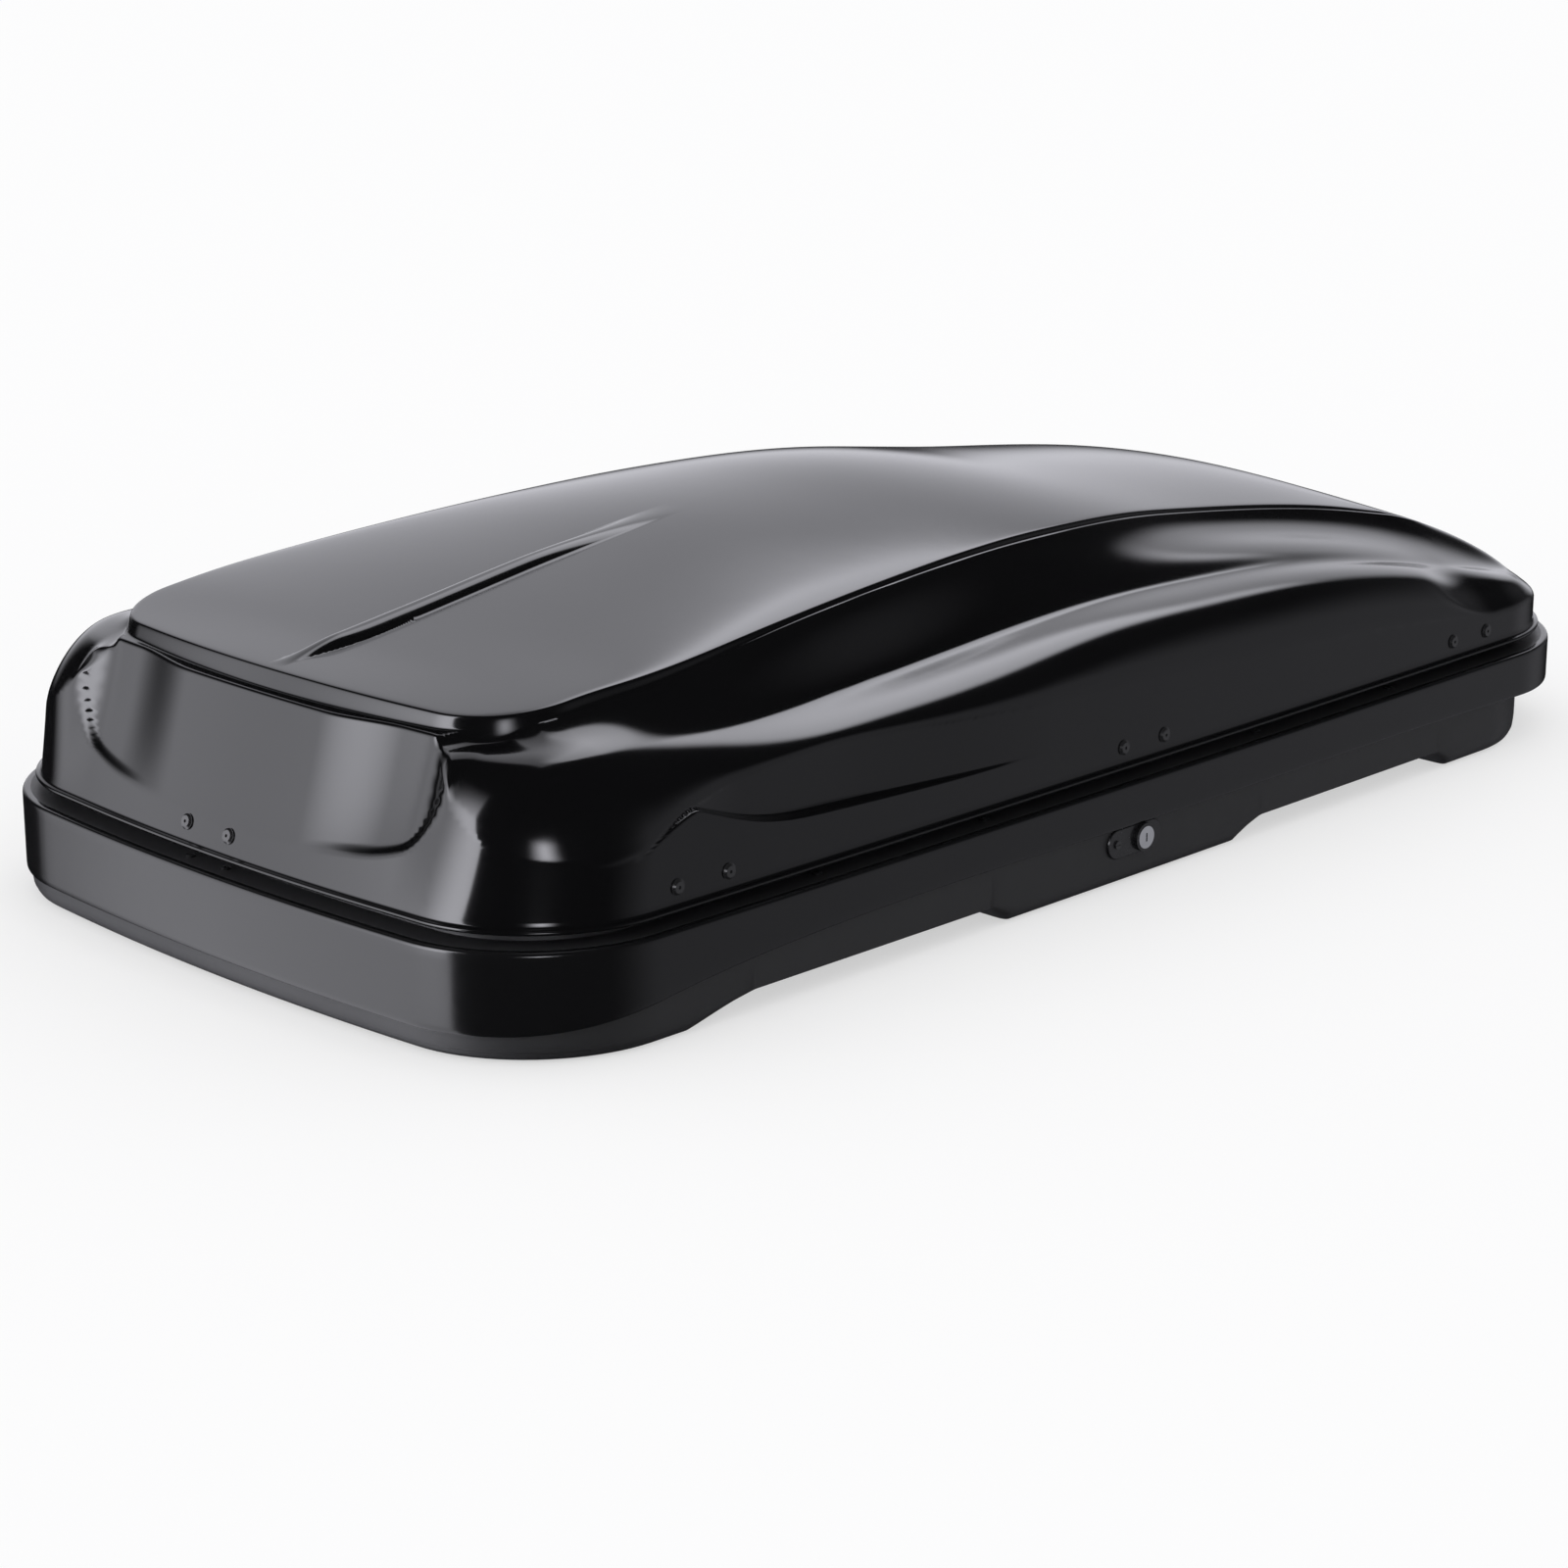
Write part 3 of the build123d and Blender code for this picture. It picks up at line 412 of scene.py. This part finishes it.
def form_normals(inside, p, eps=0.4):
    """Outward unit normals of a form at points p."""
    g = np.empty_like(p)
    for k in range(3):
        d = np.zeros(3)
        d[k] = eps
        q = p + d
        s = p - d
        g[..., k] = inside(s[..., 0], s[..., 1], s[..., 2]) - inside(q[..., 0], q[..., 1], q[..., 2])
    return g / np.maximum(np.linalg.norm(g, axis=-1, keepdims=True), 1e-9)


def ring_mesh(name, rows, normals=None, row_material=None):
    """Closed ring of columns x rows as a mesh, with points that coincide merged."""
    n, m = rows.shape[:2]
    points = rows.reshape(-1, 3)
    keys = np.round(points * 50).astype(np.int64)
    _, first, where = np.unique(keys, axis=0, return_index=True, return_inverse=True)
    where = where.reshape(-1)
    verts = points[first]
    i = np.arange(n)[:, None]
    j = np.arange(m - 1)[None, :]
    a = i * m + j
    b = ((i + 1) % n) * m + j
    quads = where[np.stack([a, b, b + 1, a + 1], axis=-1).reshape(-1, 4)]
    levels = np.broadcast_to(j, (n, m - 1)).reshape(-1)
    faces = []
    kept = []
    same = (quads == np.roll(quads, -1, axis=1)).any(axis=1)
    for face, level, doubtful in zip(quads.tolist(), levels.tolist(), same.tolist()):
        if doubtful:
            face = [v for k, v in enumerate(face) if v != face[k - 1]]
            if len(set(face)) < 3 or len(set(face)) != len(face):
                continue
        faces.append(face)
        kept.append(level)
    mesh = bpy.data.meshes.new(name)
    mesh.from_pydata((verts * MM).tolist(), [], faces)
    mesh.polygons.foreach_set("use_smooth", [True] * len(faces))
    if row_material is not None:
        mesh.polygons.foreach_set("material_index", [row_material[k] for k in kept])
    if normals is not None:
        total = np.zeros_like(verts)
        np.add.at(total, where, normals.reshape(-1, 3))
        total /= np.maximum(np.linalg.norm(total, axis=1, keepdims=True), 1e-9)
        mesh.normals_split_custom_set_from_vertices(total.tolist())
    obj = bpy.data.objects.new(name, mesh)
    bpy.context.scene.collection.objects.link(obj)
    return obj


def strip_normals(rows, start, end):
    """Normals of rows start to end from their neighbours."""
    ahead = np.roll(rows, -1, axis=0) - np.roll(rows, 1, axis=0)
    out = []
    for j in range(start, end):
        up = rows[:, min(j + 1, rows.shape[1] - 1)] - rows[:, max(j - 1, 0)]
        c = np.cross(ahead[:, j], up)
        out.append(c / np.maximum(np.linalg.norm(c, axis=1, keepdims=True), 1e-9))
    return np.stack(out, axis=1)


# Lip bead of the lid: distance out from the wall and height above the lip
LIP_BEAD = (
    (0.3, 9.0), (0.7, 7.0), (1.5, 5.6), (2.8, 4.9), (4.4, 4.5), (5.6, 3.8), (6.0, 2.5), (5.4, 0.9),
    (3.8, 0.1), (0.4, 0.0), (-1.5, 0.0), (-3.0, 0.6), (-3.5, 2.0), (-3.5, 9.0),
)


def lid_piece():
    """Lid shell: outer form, rolled lip bead and inner skin."""
    columns = stations(STRAIGHT_REACH, COLUMN_PITCH, LID_FAN)
    z0 = LIP_Z + LID_RAY_RISE
    ox, hx, hy = columns.T
    edge = bisect(lambda r: panel_inside(ox + r * hx, r * hy) > 0, ox.shape, 500.0)
    crease = np.arctan2(panel_top(ox + edge * hx, edge * hy) - z0, edge)[:, None]
    t = np.linspace(0, 1, 300)[None, :]
    lower = cast(lid_inside, columns, z0, crease * t)
    near = np.exp(-((lower[..., 2] - ledge_z(lower[..., 0]) - 2) / 9.0) ** 2) * (np.abs(lower[..., 1]) > 360)
    lower = resample(lower, 150, 1 + 3.0 * near + 1.5 * np.exp(-((1 - t) / 0.06) ** 2))
    t = np.linspace(0, 1, 130)[None, :]
    upper = cast(lid_inside, columns, z0, crease + (math.pi / 2 - crease) * t)
    upper = resample(upper, 66, 1 + 2.0 * np.exp(-(t / 0.06) ** 2) * np.ones((len(columns), 1)))
    outer = np.concatenate([lower, upper[:, 1:]], axis=1)
    outer[:, -1, 1] = 0.0
    out_n = form_normals(lid_inside, outer)
    level = out_n[:, 0] * (1, 1, 0)
    level /= np.linalg.norm(level, axis=1, keepdims=True)
    bead = []
    for out, up in reversed(LIP_BEAD):
        p = outer[:, 0] + level * out
        p[:, 2] = LIP_Z + up
        bead.append(p)
    bead = np.stack(bead, axis=1)
    picks = list(range(3, outer.shape[1] - 1, 3))
    inner = (outer - out_n * LID_SKIN)[:, picks]
    top = outer[:, -1:] - (0, 0, LID_SKIN)
    inner = np.concatenate([inner, top], axis=1)[:, ::-1]
    full = np.concatenate([inner, bead, outer[:, 1:]], axis=1)
    normals = strip_normals(full, 0, inner.shape[1] + bead.shape[1])
    normals = np.concatenate([normals, out_n[:, 1:]], axis=1)
    normals[:, 1:inner.shape[1]] = -out_n[:, picks][:, ::-1]
    normals[:, 0] = (0, 0, -1)
    skin = [1] * (inner.shape[1] - 1) + [0] * (full.shape[1] - inner.shape[1])
    return ring_mesh("lid_shell", full, normals, skin)


# Inset from the tub outline and height, round the knee outside and up from the floor inside
KNEE_PROFILE = (
    (23.0, 0.05), (19.0, 0.22), (16.0, 0.55), (12.5, 1.6), (9.8, 3.4), (8.2, 5.6), (7.4, 8.2),
    (7.2, 8.8), (6.2, 9.4), (5.9, 10.2), (5.2, 16.0), (4.7, 22.0),
)
FLOOR_PROFILE = ((9.5, 20.0), (12.0, 13.0), (14.5, 8.0), (18.0, 5.4), (22.0, 4.4), (27.0, 4.0))
# Inset from the rim outline and height over the rim: shelf, upstand and the underside of the shelf
SHELF_PROFILE = (
    (8, 0.0), (20, 0.0), (30, 0.0), (33, 0.1), (34.2, 0.6), (34.5, 1.8), (34.5, 13.0), (35.0, 14.0),
    (37.5, 14.0), (38.0, 13.4), (38.0, -3.6), (37.6, -4.0), (30, -4.0), (10, -4.0), (8.5, -5.5),
)
# Radius of the rim's outer edge
RIM_ROUND = 4.0
# Row materials of the base
GRAINED = 0
SATIN_BAND = 1


def base_rows(columns):
    """Profile of the tub for every column, from under its middle over the rim to its floor."""
    ox, hx, hy = columns.T
    zeros = np.zeros_like(ox)
    middle = np.stack([ox, zeros], axis=-1)
    rows = []
    finishes = []

    def add(xy, z, material):
        rows.append(np.concatenate([xy, np.broadcast_to(z, ox.shape)[:, None]], axis=1))
        finishes.append(material)

    toe = reach_out(tub_inside, columns, TUB_TOE)
    for f in (0.0, 0.35, 0.65, 0.85, 0.95, 1.0):
        xy = middle + (toe - middle) * f
        add(xy, underside(xy[:, 0]), GRAINED)
    for inset, height in KNEE_PROFILE:
        xy = reach_out(tub_inside, columns, inset)
        low = underside(xy[:, 0])
        add(xy, low + height * (KNEE_Z - low) / KNEE_Z, GRAINED)
    wall = reach_out(tub_inside, columns, BAND_STEP)
    rim = reach_out(rim_inside, columns, 0.0)
    under = band_low_z(rim[:, 0])
    add(wall, under - 1.5, GRAINED)
    add(wall + (rim - wall) * 0.06, under - 0.3, GRAINED)
    add(wall + (rim - wall) * 0.15, under, GRAINED)
    add(reach_out(rim_inside, columns, 1.5), under, GRAINED)
    add(reach_out(rim_inside, columns, 0.5), under + 0.4, SATIN_BAND)
    add(reach_out(rim_inside, columns, 0.1), under + 1.4, SATIN_BAND)
    for z in (0.08, 0.3, 0.6, 0.9):
        add(rim, under + (RIM_Z - 4.2 - under) * z, SATIN_BAND)
    for k in range(9):
        a = math.pi / 2 * k / 8
        inset = RIM_ROUND * (1 - math.cos(a))
        add(reach_out(rim_inside, columns, inset), RIM_Z - RIM_ROUND + RIM_ROUND * math.sin(a), SATIN_BAND)
    for inset, z in SHELF_PROFILE:
        add(reach_out(rim_inside, columns, inset), RIM_Z + z, GRAINED)
    add(reach_out(rim_inside, columns, 8.5), 64.0, GRAINED)
    add(reach_out(rim_inside, columns, 8.8), 62.0, GRAINED)
    deck = np.maximum(62.0, under + TUB_WALL)
    for inset, z in ((8.5, deck - 1), (8.7, 40.0)):
        add(reach_out(tub_inside, columns, inset), z, GRAINED)
    for inset, height in FLOOR_PROFILE:
        xy = reach_out(tub_inside, columns, inset)
        low = underside(xy[:, 0])
        add(xy, low + TUB_WALL + (height - TUB_WALL) * (KNEE_Z - low * 0.6) / KNEE_Z, GRAINED)
    floor = reach_out(tub_inside, columns, TUB_TOE)
    for f in (0.95, 0.85, 0.65, 0.35, 0.0):
        xy = middle + (floor - middle) * f
        add(xy, underside(xy[:, 0]) + TUB_WALL, GRAINED)
    return np.stack(rows, axis=1), finishes


def prism(points, z0, z1, axis="z"):
    """Closed prism over a convex outline; along Z, or along Y when axis is y."""
    n = len(points)
    if axis == "z":
        verts = [(x, y, z) for z in (z0, z1) for x, y in points]
    else:
        verts = [(x, y, z) for y in (z0, z1) for x, z in points]
    faces = [list(range(n))[::-1], list(range(n, 2 * n))]
    faces += [[k, (k + 1) % n, n + (k + 1) % n, n + k] for k in range(n)]
    if axis != "z":
        faces = [face[::-1] for face in faces]
    return verts, faces


def circle(x, y, r, n=40):
    """Points round a circle."""
    return [(x + r * math.cos(2 * math.pi * k / n), y + r * math.sin(2 * math.pi * k / n)) for k in range(n)]


def slot_outline(x, y, length, r):
    """Points round a slot lying along X."""
    points = []
    for k in range(21):
        a = -math.pi / 2 + math.pi * k / 20
        points.append((x + length / 2 - r + r * math.cos(a), y + r * math.sin(a)))
    for k in range(21):
        a = math.pi / 2 + math.pi * k / 20
        points.append((x - length / 2 + r + r * math.cos(a), y + r * math.sin(a)))
    return points


SLOT_OFFSET_X = 45.0
SLOT_ROW_Y = 250.0
SLOT_LENGTH = 50.0
SLOT_R = 3.5
BOLT_HEAD_R = 4.0
BOLT_HOLE_R = 4.4
LOCK_BORE_R = 11.06


def base_cutters():
    """Crossbar slots, strut bolt holes and the lock's bore."""
    cutters = []
    for mount in frame["record"]["mounts"]:
        if mount["kind"] != "bolt_pattern":
            continue
        cx = mount["pos_m"][0] / MM
        for dx in (-SLOT_OFFSET_X, SLOT_OFFSET_X):
            for y in (-SLOT_ROW_Y, SLOT_ROW_Y):
                cutters.append(prism(slot_outline(cx + dx, y, SLOT_LENGTH, SLOT_R), 12.0, 38.0))
    low, high = node_mm("strut_foot_bolts")
    for x in (low[0] + BOLT_HEAD_R, high[0] - BOLT_HEAD_R):
        for y in (low[1] + BOLT_HEAD_R, high[1] - BOLT_HEAD_R):
            cutters.append(prism(circle(x, y, BOLT_HOLE_R), -6.0, 9.0))
    low, high = node_mm("lock_housing")
    z = 0.5 * (low[2] + high[2])
    cutters.append(prism(circle(0.0, z, LOCK_BORE_R), low[1] - 5, low[1] + 30, "y"))
    return cutters


def base_piece():
    """Tub shell with its rim band, shelf and upstand, cut through where things pass."""
    columns = stations(STRAIGHT_REACH, COLUMN_PITCH, BASE_FAN)
    rows, finishes = base_rows(columns)
    obj = ring_mesh("base_tub", rows, None, finishes)
    verts = []
    faces = []
    for points, sides in base_cutters():
        faces += [[len(verts) + k for k in side] for side in sides]
        verts += points
    mesh = bpy.data.meshes.new("cutters")
    mesh.from_pydata((np.array(verts) * MM).tolist(), [], faces)
    tool = bpy.data.objects.new("cutters", mesh)
    bpy.context.scene.collection.objects.link(tool)
    cut = obj.modifiers.new("cut", "BOOLEAN")
    cut.operation = "DIFFERENCE"
    cut.solver = "FAST"
    cut.object = tool
    bpy.context.view_layer.update()
    shape = bpy.data.meshes.new_from_object(obj.evaluated_get(bpy.context.evaluated_depsgraph_get()))
    obj.modifiers.clear()
    obj.data = shape
    bpy.data.objects.remove(tool)
    shape.set_sharp_from_angle(angle=math.radians(38))
    return obj


lid = lid_piece()
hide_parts("lid")
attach(lid, "lid")
base = base_piece()
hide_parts("base_shell")
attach(base, "base")


# ---------------------------------------------------------------- materials

def node(tree, kind, inputs=(), **settings):
    """Add a node, set its properties and its inputs; an input may be a value or a socket."""
    made = tree.nodes.new(kind)
    for key, value in settings.items():
        setattr(made, key, value)
    for key, value in dict(inputs).items():
        if isinstance(value, bpy.types.NodeSocket):
            tree.links.new(value, made.inputs[key])
        else:
            made.inputs[key].default_value = value
    return made


def calc(tree, operation, a, b=0.0):
    """One step of arithmetic."""
    return node(tree, "ShaderNodeMath", {0: a, 1: b}, operation=operation).outputs[0]


def remap(tree, value, low, high, to_low, to_high, smooth=False):
    """Map a value from one range to another."""
    made = node(
        tree, "ShaderNodeMapRange",
        {"Value": value, "From Min": low, "From Max": high, "To Min": to_low, "To Max": to_high},
    )
    made.interpolation_type = "SMOOTHSTEP" if smooth else "LINEAR"
    return made.outputs["Result"]


def noise(tree, coord, scale, detail=3.0):
    """Noise with features of about 1 / scale metres."""
    made = node(tree, "ShaderNodeTexNoise", {"Vector": coord, "Scale": scale, "Detail": detail})
    return made.outputs["Fac"]


def finish(name, color, rough, spread=0.15, grain=(), metallic=0.0, coat=0.0, wear=0.0):
    """Procedural finish: drifting colour and roughness, layers of (scale, depth) bump, worn edges."""
    mat = bpy.data.materials.new(name)
    mat.use_nodes = True
    tree = mat.node_tree
    bsdf = tree.nodes["Principled BSDF"]
    coord = node(tree, "ShaderNodeTexCoord").outputs["Object"]
    cloud = noise(tree, coord, 7.0, 4.0)
    speck = noise(tree, coord, 140.0, 2.0)
    drift = calc(tree, "ADD", calc(tree, "MULTIPLY", cloud, 0.7), calc(tree, "MULTIPLY", speck, 0.3))
    rough_out = remap(tree, drift, 0.25, 0.75, rough * (1 - spread), rough * (1 + spread))
    mix = node(tree, "ShaderNodeMix", {"Factor": drift}, data_type="RGBA")
    mix.inputs["A"].default_value = (*[0.8 * c for c in color], 1)
    mix.inputs["B"].default_value = (*[min(1.2 * c, 1) for c in color], 1)
    color_out = mix.outputs["Result"]
    if wear:
        edge = node(tree, "ShaderNodeNewGeometry").outputs["Pointiness"]
        ragged = calc(tree, "ADD", edge, calc(tree, "MULTIPLY", speck, 0.02))
        worn = remap(tree, ragged, 0.53, 0.58, 0.0, wear)
        light = node(tree, "ShaderNodeMix", {"Factor": worn}, data_type="RGBA")
        tree.links.new(color_out, light.inputs["A"])
        light.inputs["B"].default_value = (*[min(c * 2.5 + 0.02, 1) for c in color], 1)
        color_out = light.outputs["Result"]
    tree.links.new(color_out, bsdf.inputs["Base Color"])
    tree.links.new(rough_out, bsdf.inputs["Roughness"])
    bsdf.inputs["Metallic"].default_value = metallic
    bsdf.inputs["Coat Weight"].default_value = coat
    bsdf.inputs["Coat Roughness"].default_value = 0.06
    last = None
    for scale, depth in grain:
        bump = node(
            tree, "ShaderNodeBump",
            {"Strength": 1.0, "Distance": depth, "Height": noise(tree, coord, scale, 2.0)},
        )
        if last:
            tree.links.new(last, bump.inputs["Normal"])
        last = bump.outputs["Normal"]
    if last:
        tree.links.new(last, bsdf.inputs["Normal"])
    return mat


GLOSS = finish("lid_gloss", (0.0032, 0.0032, 0.0036), 0.115, 0.2, ((38.0, 0.00003), (600.0, 0.0000015)))
SATIN = finish("rim_satin", (0.0045, 0.0045, 0.005), 0.17, 0.2, ((60.0, 0.00003), (900.0, 0.000012)))
GRAIN = finish("tub_grain", (0.018, 0.018, 0.0195), 0.5, 0.15, ((420.0, 0.00006), (1300.0, 0.0001)))
INNER = finish("lid_inner", (0.008, 0.008, 0.009), 0.4, 0.2, ((160.0, 0.00003), (900.0, 0.00002)))
GUIDE = finish("guide_plastic", (0.012, 0.012, 0.013), 0.4, 0.2, ((700.0, 0.00003),), wear=0.3)
RUBBER = finish("seal_rubber", (0.009, 0.009, 0.009), 0.72, 0.15, ((900.0, 0.00004),))
HINGE = finish("hinge_steel", (0.016, 0.016, 0.017), 0.38, 0.2, ((500.0, 0.00001),), coat=0.3, wear=0.5)
PIN = finish("pin_steel", (0.5, 0.51, 0.53), 0.24, 0.3, ((1400.0, 0.000004),), metallic=1.0)
RIVET = finish("rivet_black", (0.012, 0.012, 0.013), 0.22, 0.25, ((700.0, 0.000006),), coat=0.4)
LATCH = finish("latch_steel", (0.42, 0.43, 0.45), 0.34, 0.25, ((300.0, 0.000012),), metallic=1.0)
LOCK_BLACK = finish("lock_black", (0.008, 0.008, 0.009), 0.28, 0.2, ((900.0, 0.000008),), coat=0.2)
CHROME = finish("lock_chrome", (0.74, 0.75, 0.77), 0.1, 0.3, ((1600.0, 0.000002),), metallic=1.0)
STRUT = finish("strut_black", (0.01, 0.01, 0.011), 0.25, 0.2, ((400.0, 0.000008),), coat=0.5)
ROD = finish("rod_chrome", (0.7, 0.71, 0.73), 0.09, 0.3, ((1200.0, 0.000002),), metallic=1.0)
STRIP = finish("strip_steel", (0.36, 0.37, 0.39), 0.42, 0.2, ((250.0, 0.00002),), metallic=1.0)
SLOT_MATERIAL = {
    "lid_gloss": GLOSS,
    "tub_plastic": GRAIN,
    "seal_rubber": RUBBER,
    "hinge_steel": HINGE,
    "pin_steel": PIN,
    "rivet_metal": RIVET,
    "latch_steel": LATCH,
    "guide_plastic": GUIDE,
    "lock_black": LOCK_BLACK,
    "lock_chrome": CHROME,
    "strut_black": STRUT,
    "rod_chrome": ROD,
    "strip_steel": STRIP,
}
for part in frame["record"]["subparts"]:
    obj = frame["nodes"][part["node"]]
    obj.data.materials.clear()
    obj.data.materials.append(SLOT_MATERIAL[part["material_slot"]])
for mat in (GLOSS, INNER):
    lid.data.materials.append(mat)
for mat in (GRAIN, SATIN):
    base.data.materials.append(mat)


# ---------------------------------------------------------------- stage, light, camera

# Soft boxes round the object: azimuth from +X, its soft edges, elevation, its soft edges, all in
# degrees, and brightness. The last one is the faint light of the whole room.
SOFT_BOXES = (
    ((16, 74), (14, 24), (-4, 92), (8, 2), 1.05),
    ((15, 46), (10, 16), (31, 75), (7, 20), 2.4),
    ((114, 177), (26, 1.5), (-60, 34), (30, 22), 2.2),
    ((150, 177), (40, 1.5), (-12, 40), (30, 25), 6.0),
    ((-134, -124), (12, 12), (0, 18), (10, 14), 10.0),
    ((-70, 0), (40, 40), (-40, 20), (20, 30), 0.3),
    ((-180, 180), (1, 1), (-95, 95), (1, 1), 0.012),
)
ROOM_TINT = (0.96, 0.96, 1.03, 1)


def soft_band(tree, value, span, soft):
    """1 inside the span, falling to 0 over its soft edges."""
    rise = remap(tree, value, span[0] - soft[0] / 2, span[0] + soft[0] / 2, 0, 1, True)
    fall = remap(tree, value, span[1] - soft[1] / 2, span[1] + soft[1] / 2, 1, 0, True)
    return calc(tree, "MULTIPLY", rise, fall)


def room(tree, direction):
    """What a glossy surface sees in a direction: the sum of the soft boxes."""
    split = node(tree, "ShaderNodeSeparateXYZ", {"Vector": direction})
    x, y, z = split.outputs
    turn = calc(tree, "DEGREES", calc(tree, "ARCTAN2", y, x))
    rise = calc(tree, "DEGREES", calc(tree, "ARCSINE", z))
    total = None
    for across, soft_across, up, soft_up, level in SOFT_BOXES:
        wide = soft_band(tree, turn, across, soft_across)
        tall = soft_band(tree, rise, up, soft_up)
        box = calc(tree, "MULTIPLY", wide, tall)
        box = calc(tree, "MULTIPLY", box, level)
        total = box if total is None else calc(tree, "ADD", total, box)
    return total


def studio():
    """Pale floor and a plain soft studio whose boxes show in the gloss."""
    scene = bpy.context.scene
    scene.view_settings.view_transform = "Standard"
    world = bpy.data.worlds.new("studio")
    scene.world = world
    world.use_nodes = True
    world.cycles.sampling_method = "NONE"
    tree = world.node_tree
    tree.nodes.clear()
    path = node(tree, "ShaderNodeLightPath").outputs
    level = room(tree, node(tree, "ShaderNodeTexCoord").outputs["Generated"])
    glossy = node(tree, "ShaderNodeBackground", {"Color": ROOM_TINT, "Strength": level})
    plain = node(tree, "ShaderNodeBackground", {"Color": (1, 1, 1, 1), "Strength": 1.0})
    gloss_ray = path["Is Glossy Ray"]
    mix = node(tree, "ShaderNodeMixShader", {0: gloss_ray, 1: plain.outputs[0], 2: glossy.outputs[0]})
    node(tree, "ShaderNodeOutputWorld", {"Surface": mix.outputs[0]})

    mesh = bpy.data.meshes.new("floor")
    s = FLOOR_REACH
    mesh.from_pydata([(-s, -s, 0), (s, -s, 0), (s, s, 0), (-s, s, 0)], [], [(0, 1, 2, 3)])
    floor = bpy.data.objects.new("floor", mesh)
    floor.location.z = cad_box[0][2] - FLOOR_GAP
    scene.collection.objects.link(floor)
    mat = bpy.data.materials.new("floor")
    mat.use_nodes = True
    mat.cycles.emission_sampling = "NONE"
    tree = mat.node_tree
    tree.nodes.clear()
    path = node(tree, "ShaderNodeLightPath").outputs
    back = node(tree, "ShaderNodeVectorMath", operation="SCALE")
    tree.links.new(node(tree, "ShaderNodeNewGeometry").outputs["Incoming"], back.inputs[0])
    back.inputs["Scale"].default_value = -1.0
    level = room(tree, back.outputs[0])
    shown = node(tree, "ShaderNodeEmission", {"Color": ROOM_TINT, "Strength": level})
    pale = node(tree, "ShaderNodeBsdfDiffuse", {"Color": (0.95, 0.95, 0.96, 1)})
    white = node(tree, "ShaderNodeEmission", {"Color": (1, 1, 1, 1), "Strength": 1.0})
    seen = node(tree, "ShaderNodeMixShader", {0: 0.55, 1: pale.outputs[0], 2: white.outputs[0]})
    camera_ray = path["Is Camera Ray"]
    gloss_ray = path["Is Glossy Ray"]
    direct = node(tree, "ShaderNodeMixShader", {0: camera_ray, 1: pale.outputs[0], 2: seen.outputs[0]})
    mix = node(tree, "ShaderNodeMixShader", {0: gloss_ray, 1: direct.outputs[0], 2: shown.outputs[0]})
    node(tree, "ShaderNodeOutputMaterial", {"Surface": mix.outputs[0]})
    mesh.materials.append(mat)


# Viewpoint: angles in degrees, distance from the rim's level and shifts of the frame in metres
CAMERA_AZIMUTH = -45.39
CAMERA_ELEVATION = 17.21
CAMERA_DISTANCE = 3.985
CAMERA_LEFT = 0.053
CAMERA_DOWN = 0.089
CAMERA_LENS = 90.0
FLOOR_REACH = 30.0
FLOOR_GAP = 0.0005


def camera():
    """Long lens from the rear right, slightly above."""
    az = math.radians(CAMERA_AZIMUTH)
    el = math.radians(CAMERA_ELEVATION)
    back = Vector((math.sin(az) * math.cos(el), -math.cos(az) * math.cos(el), math.sin(el)))
    right = Vector((math.cos(az), math.sin(az), 0))
    up = back.cross(right)
    data = bpy.data.cameras.new("camera")
    data.lens = CAMERA_LENS
    data.sensor_width = 36.0
    cam = bpy.data.objects.new("camera", data)
    place = Vector((0, 0, RIM_Z * MM)) + back * CAMERA_DISTANCE - right * CAMERA_LEFT - up * CAMERA_DOWN
    turn = Matrix((right, up, back)).transposed()
    cam.matrix_world = Matrix.Translation(place) @ turn.to_4x4()
    bpy.context.scene.collection.objects.link(cam)
    bpy.context.scene.camera = cam


studio()
camera()
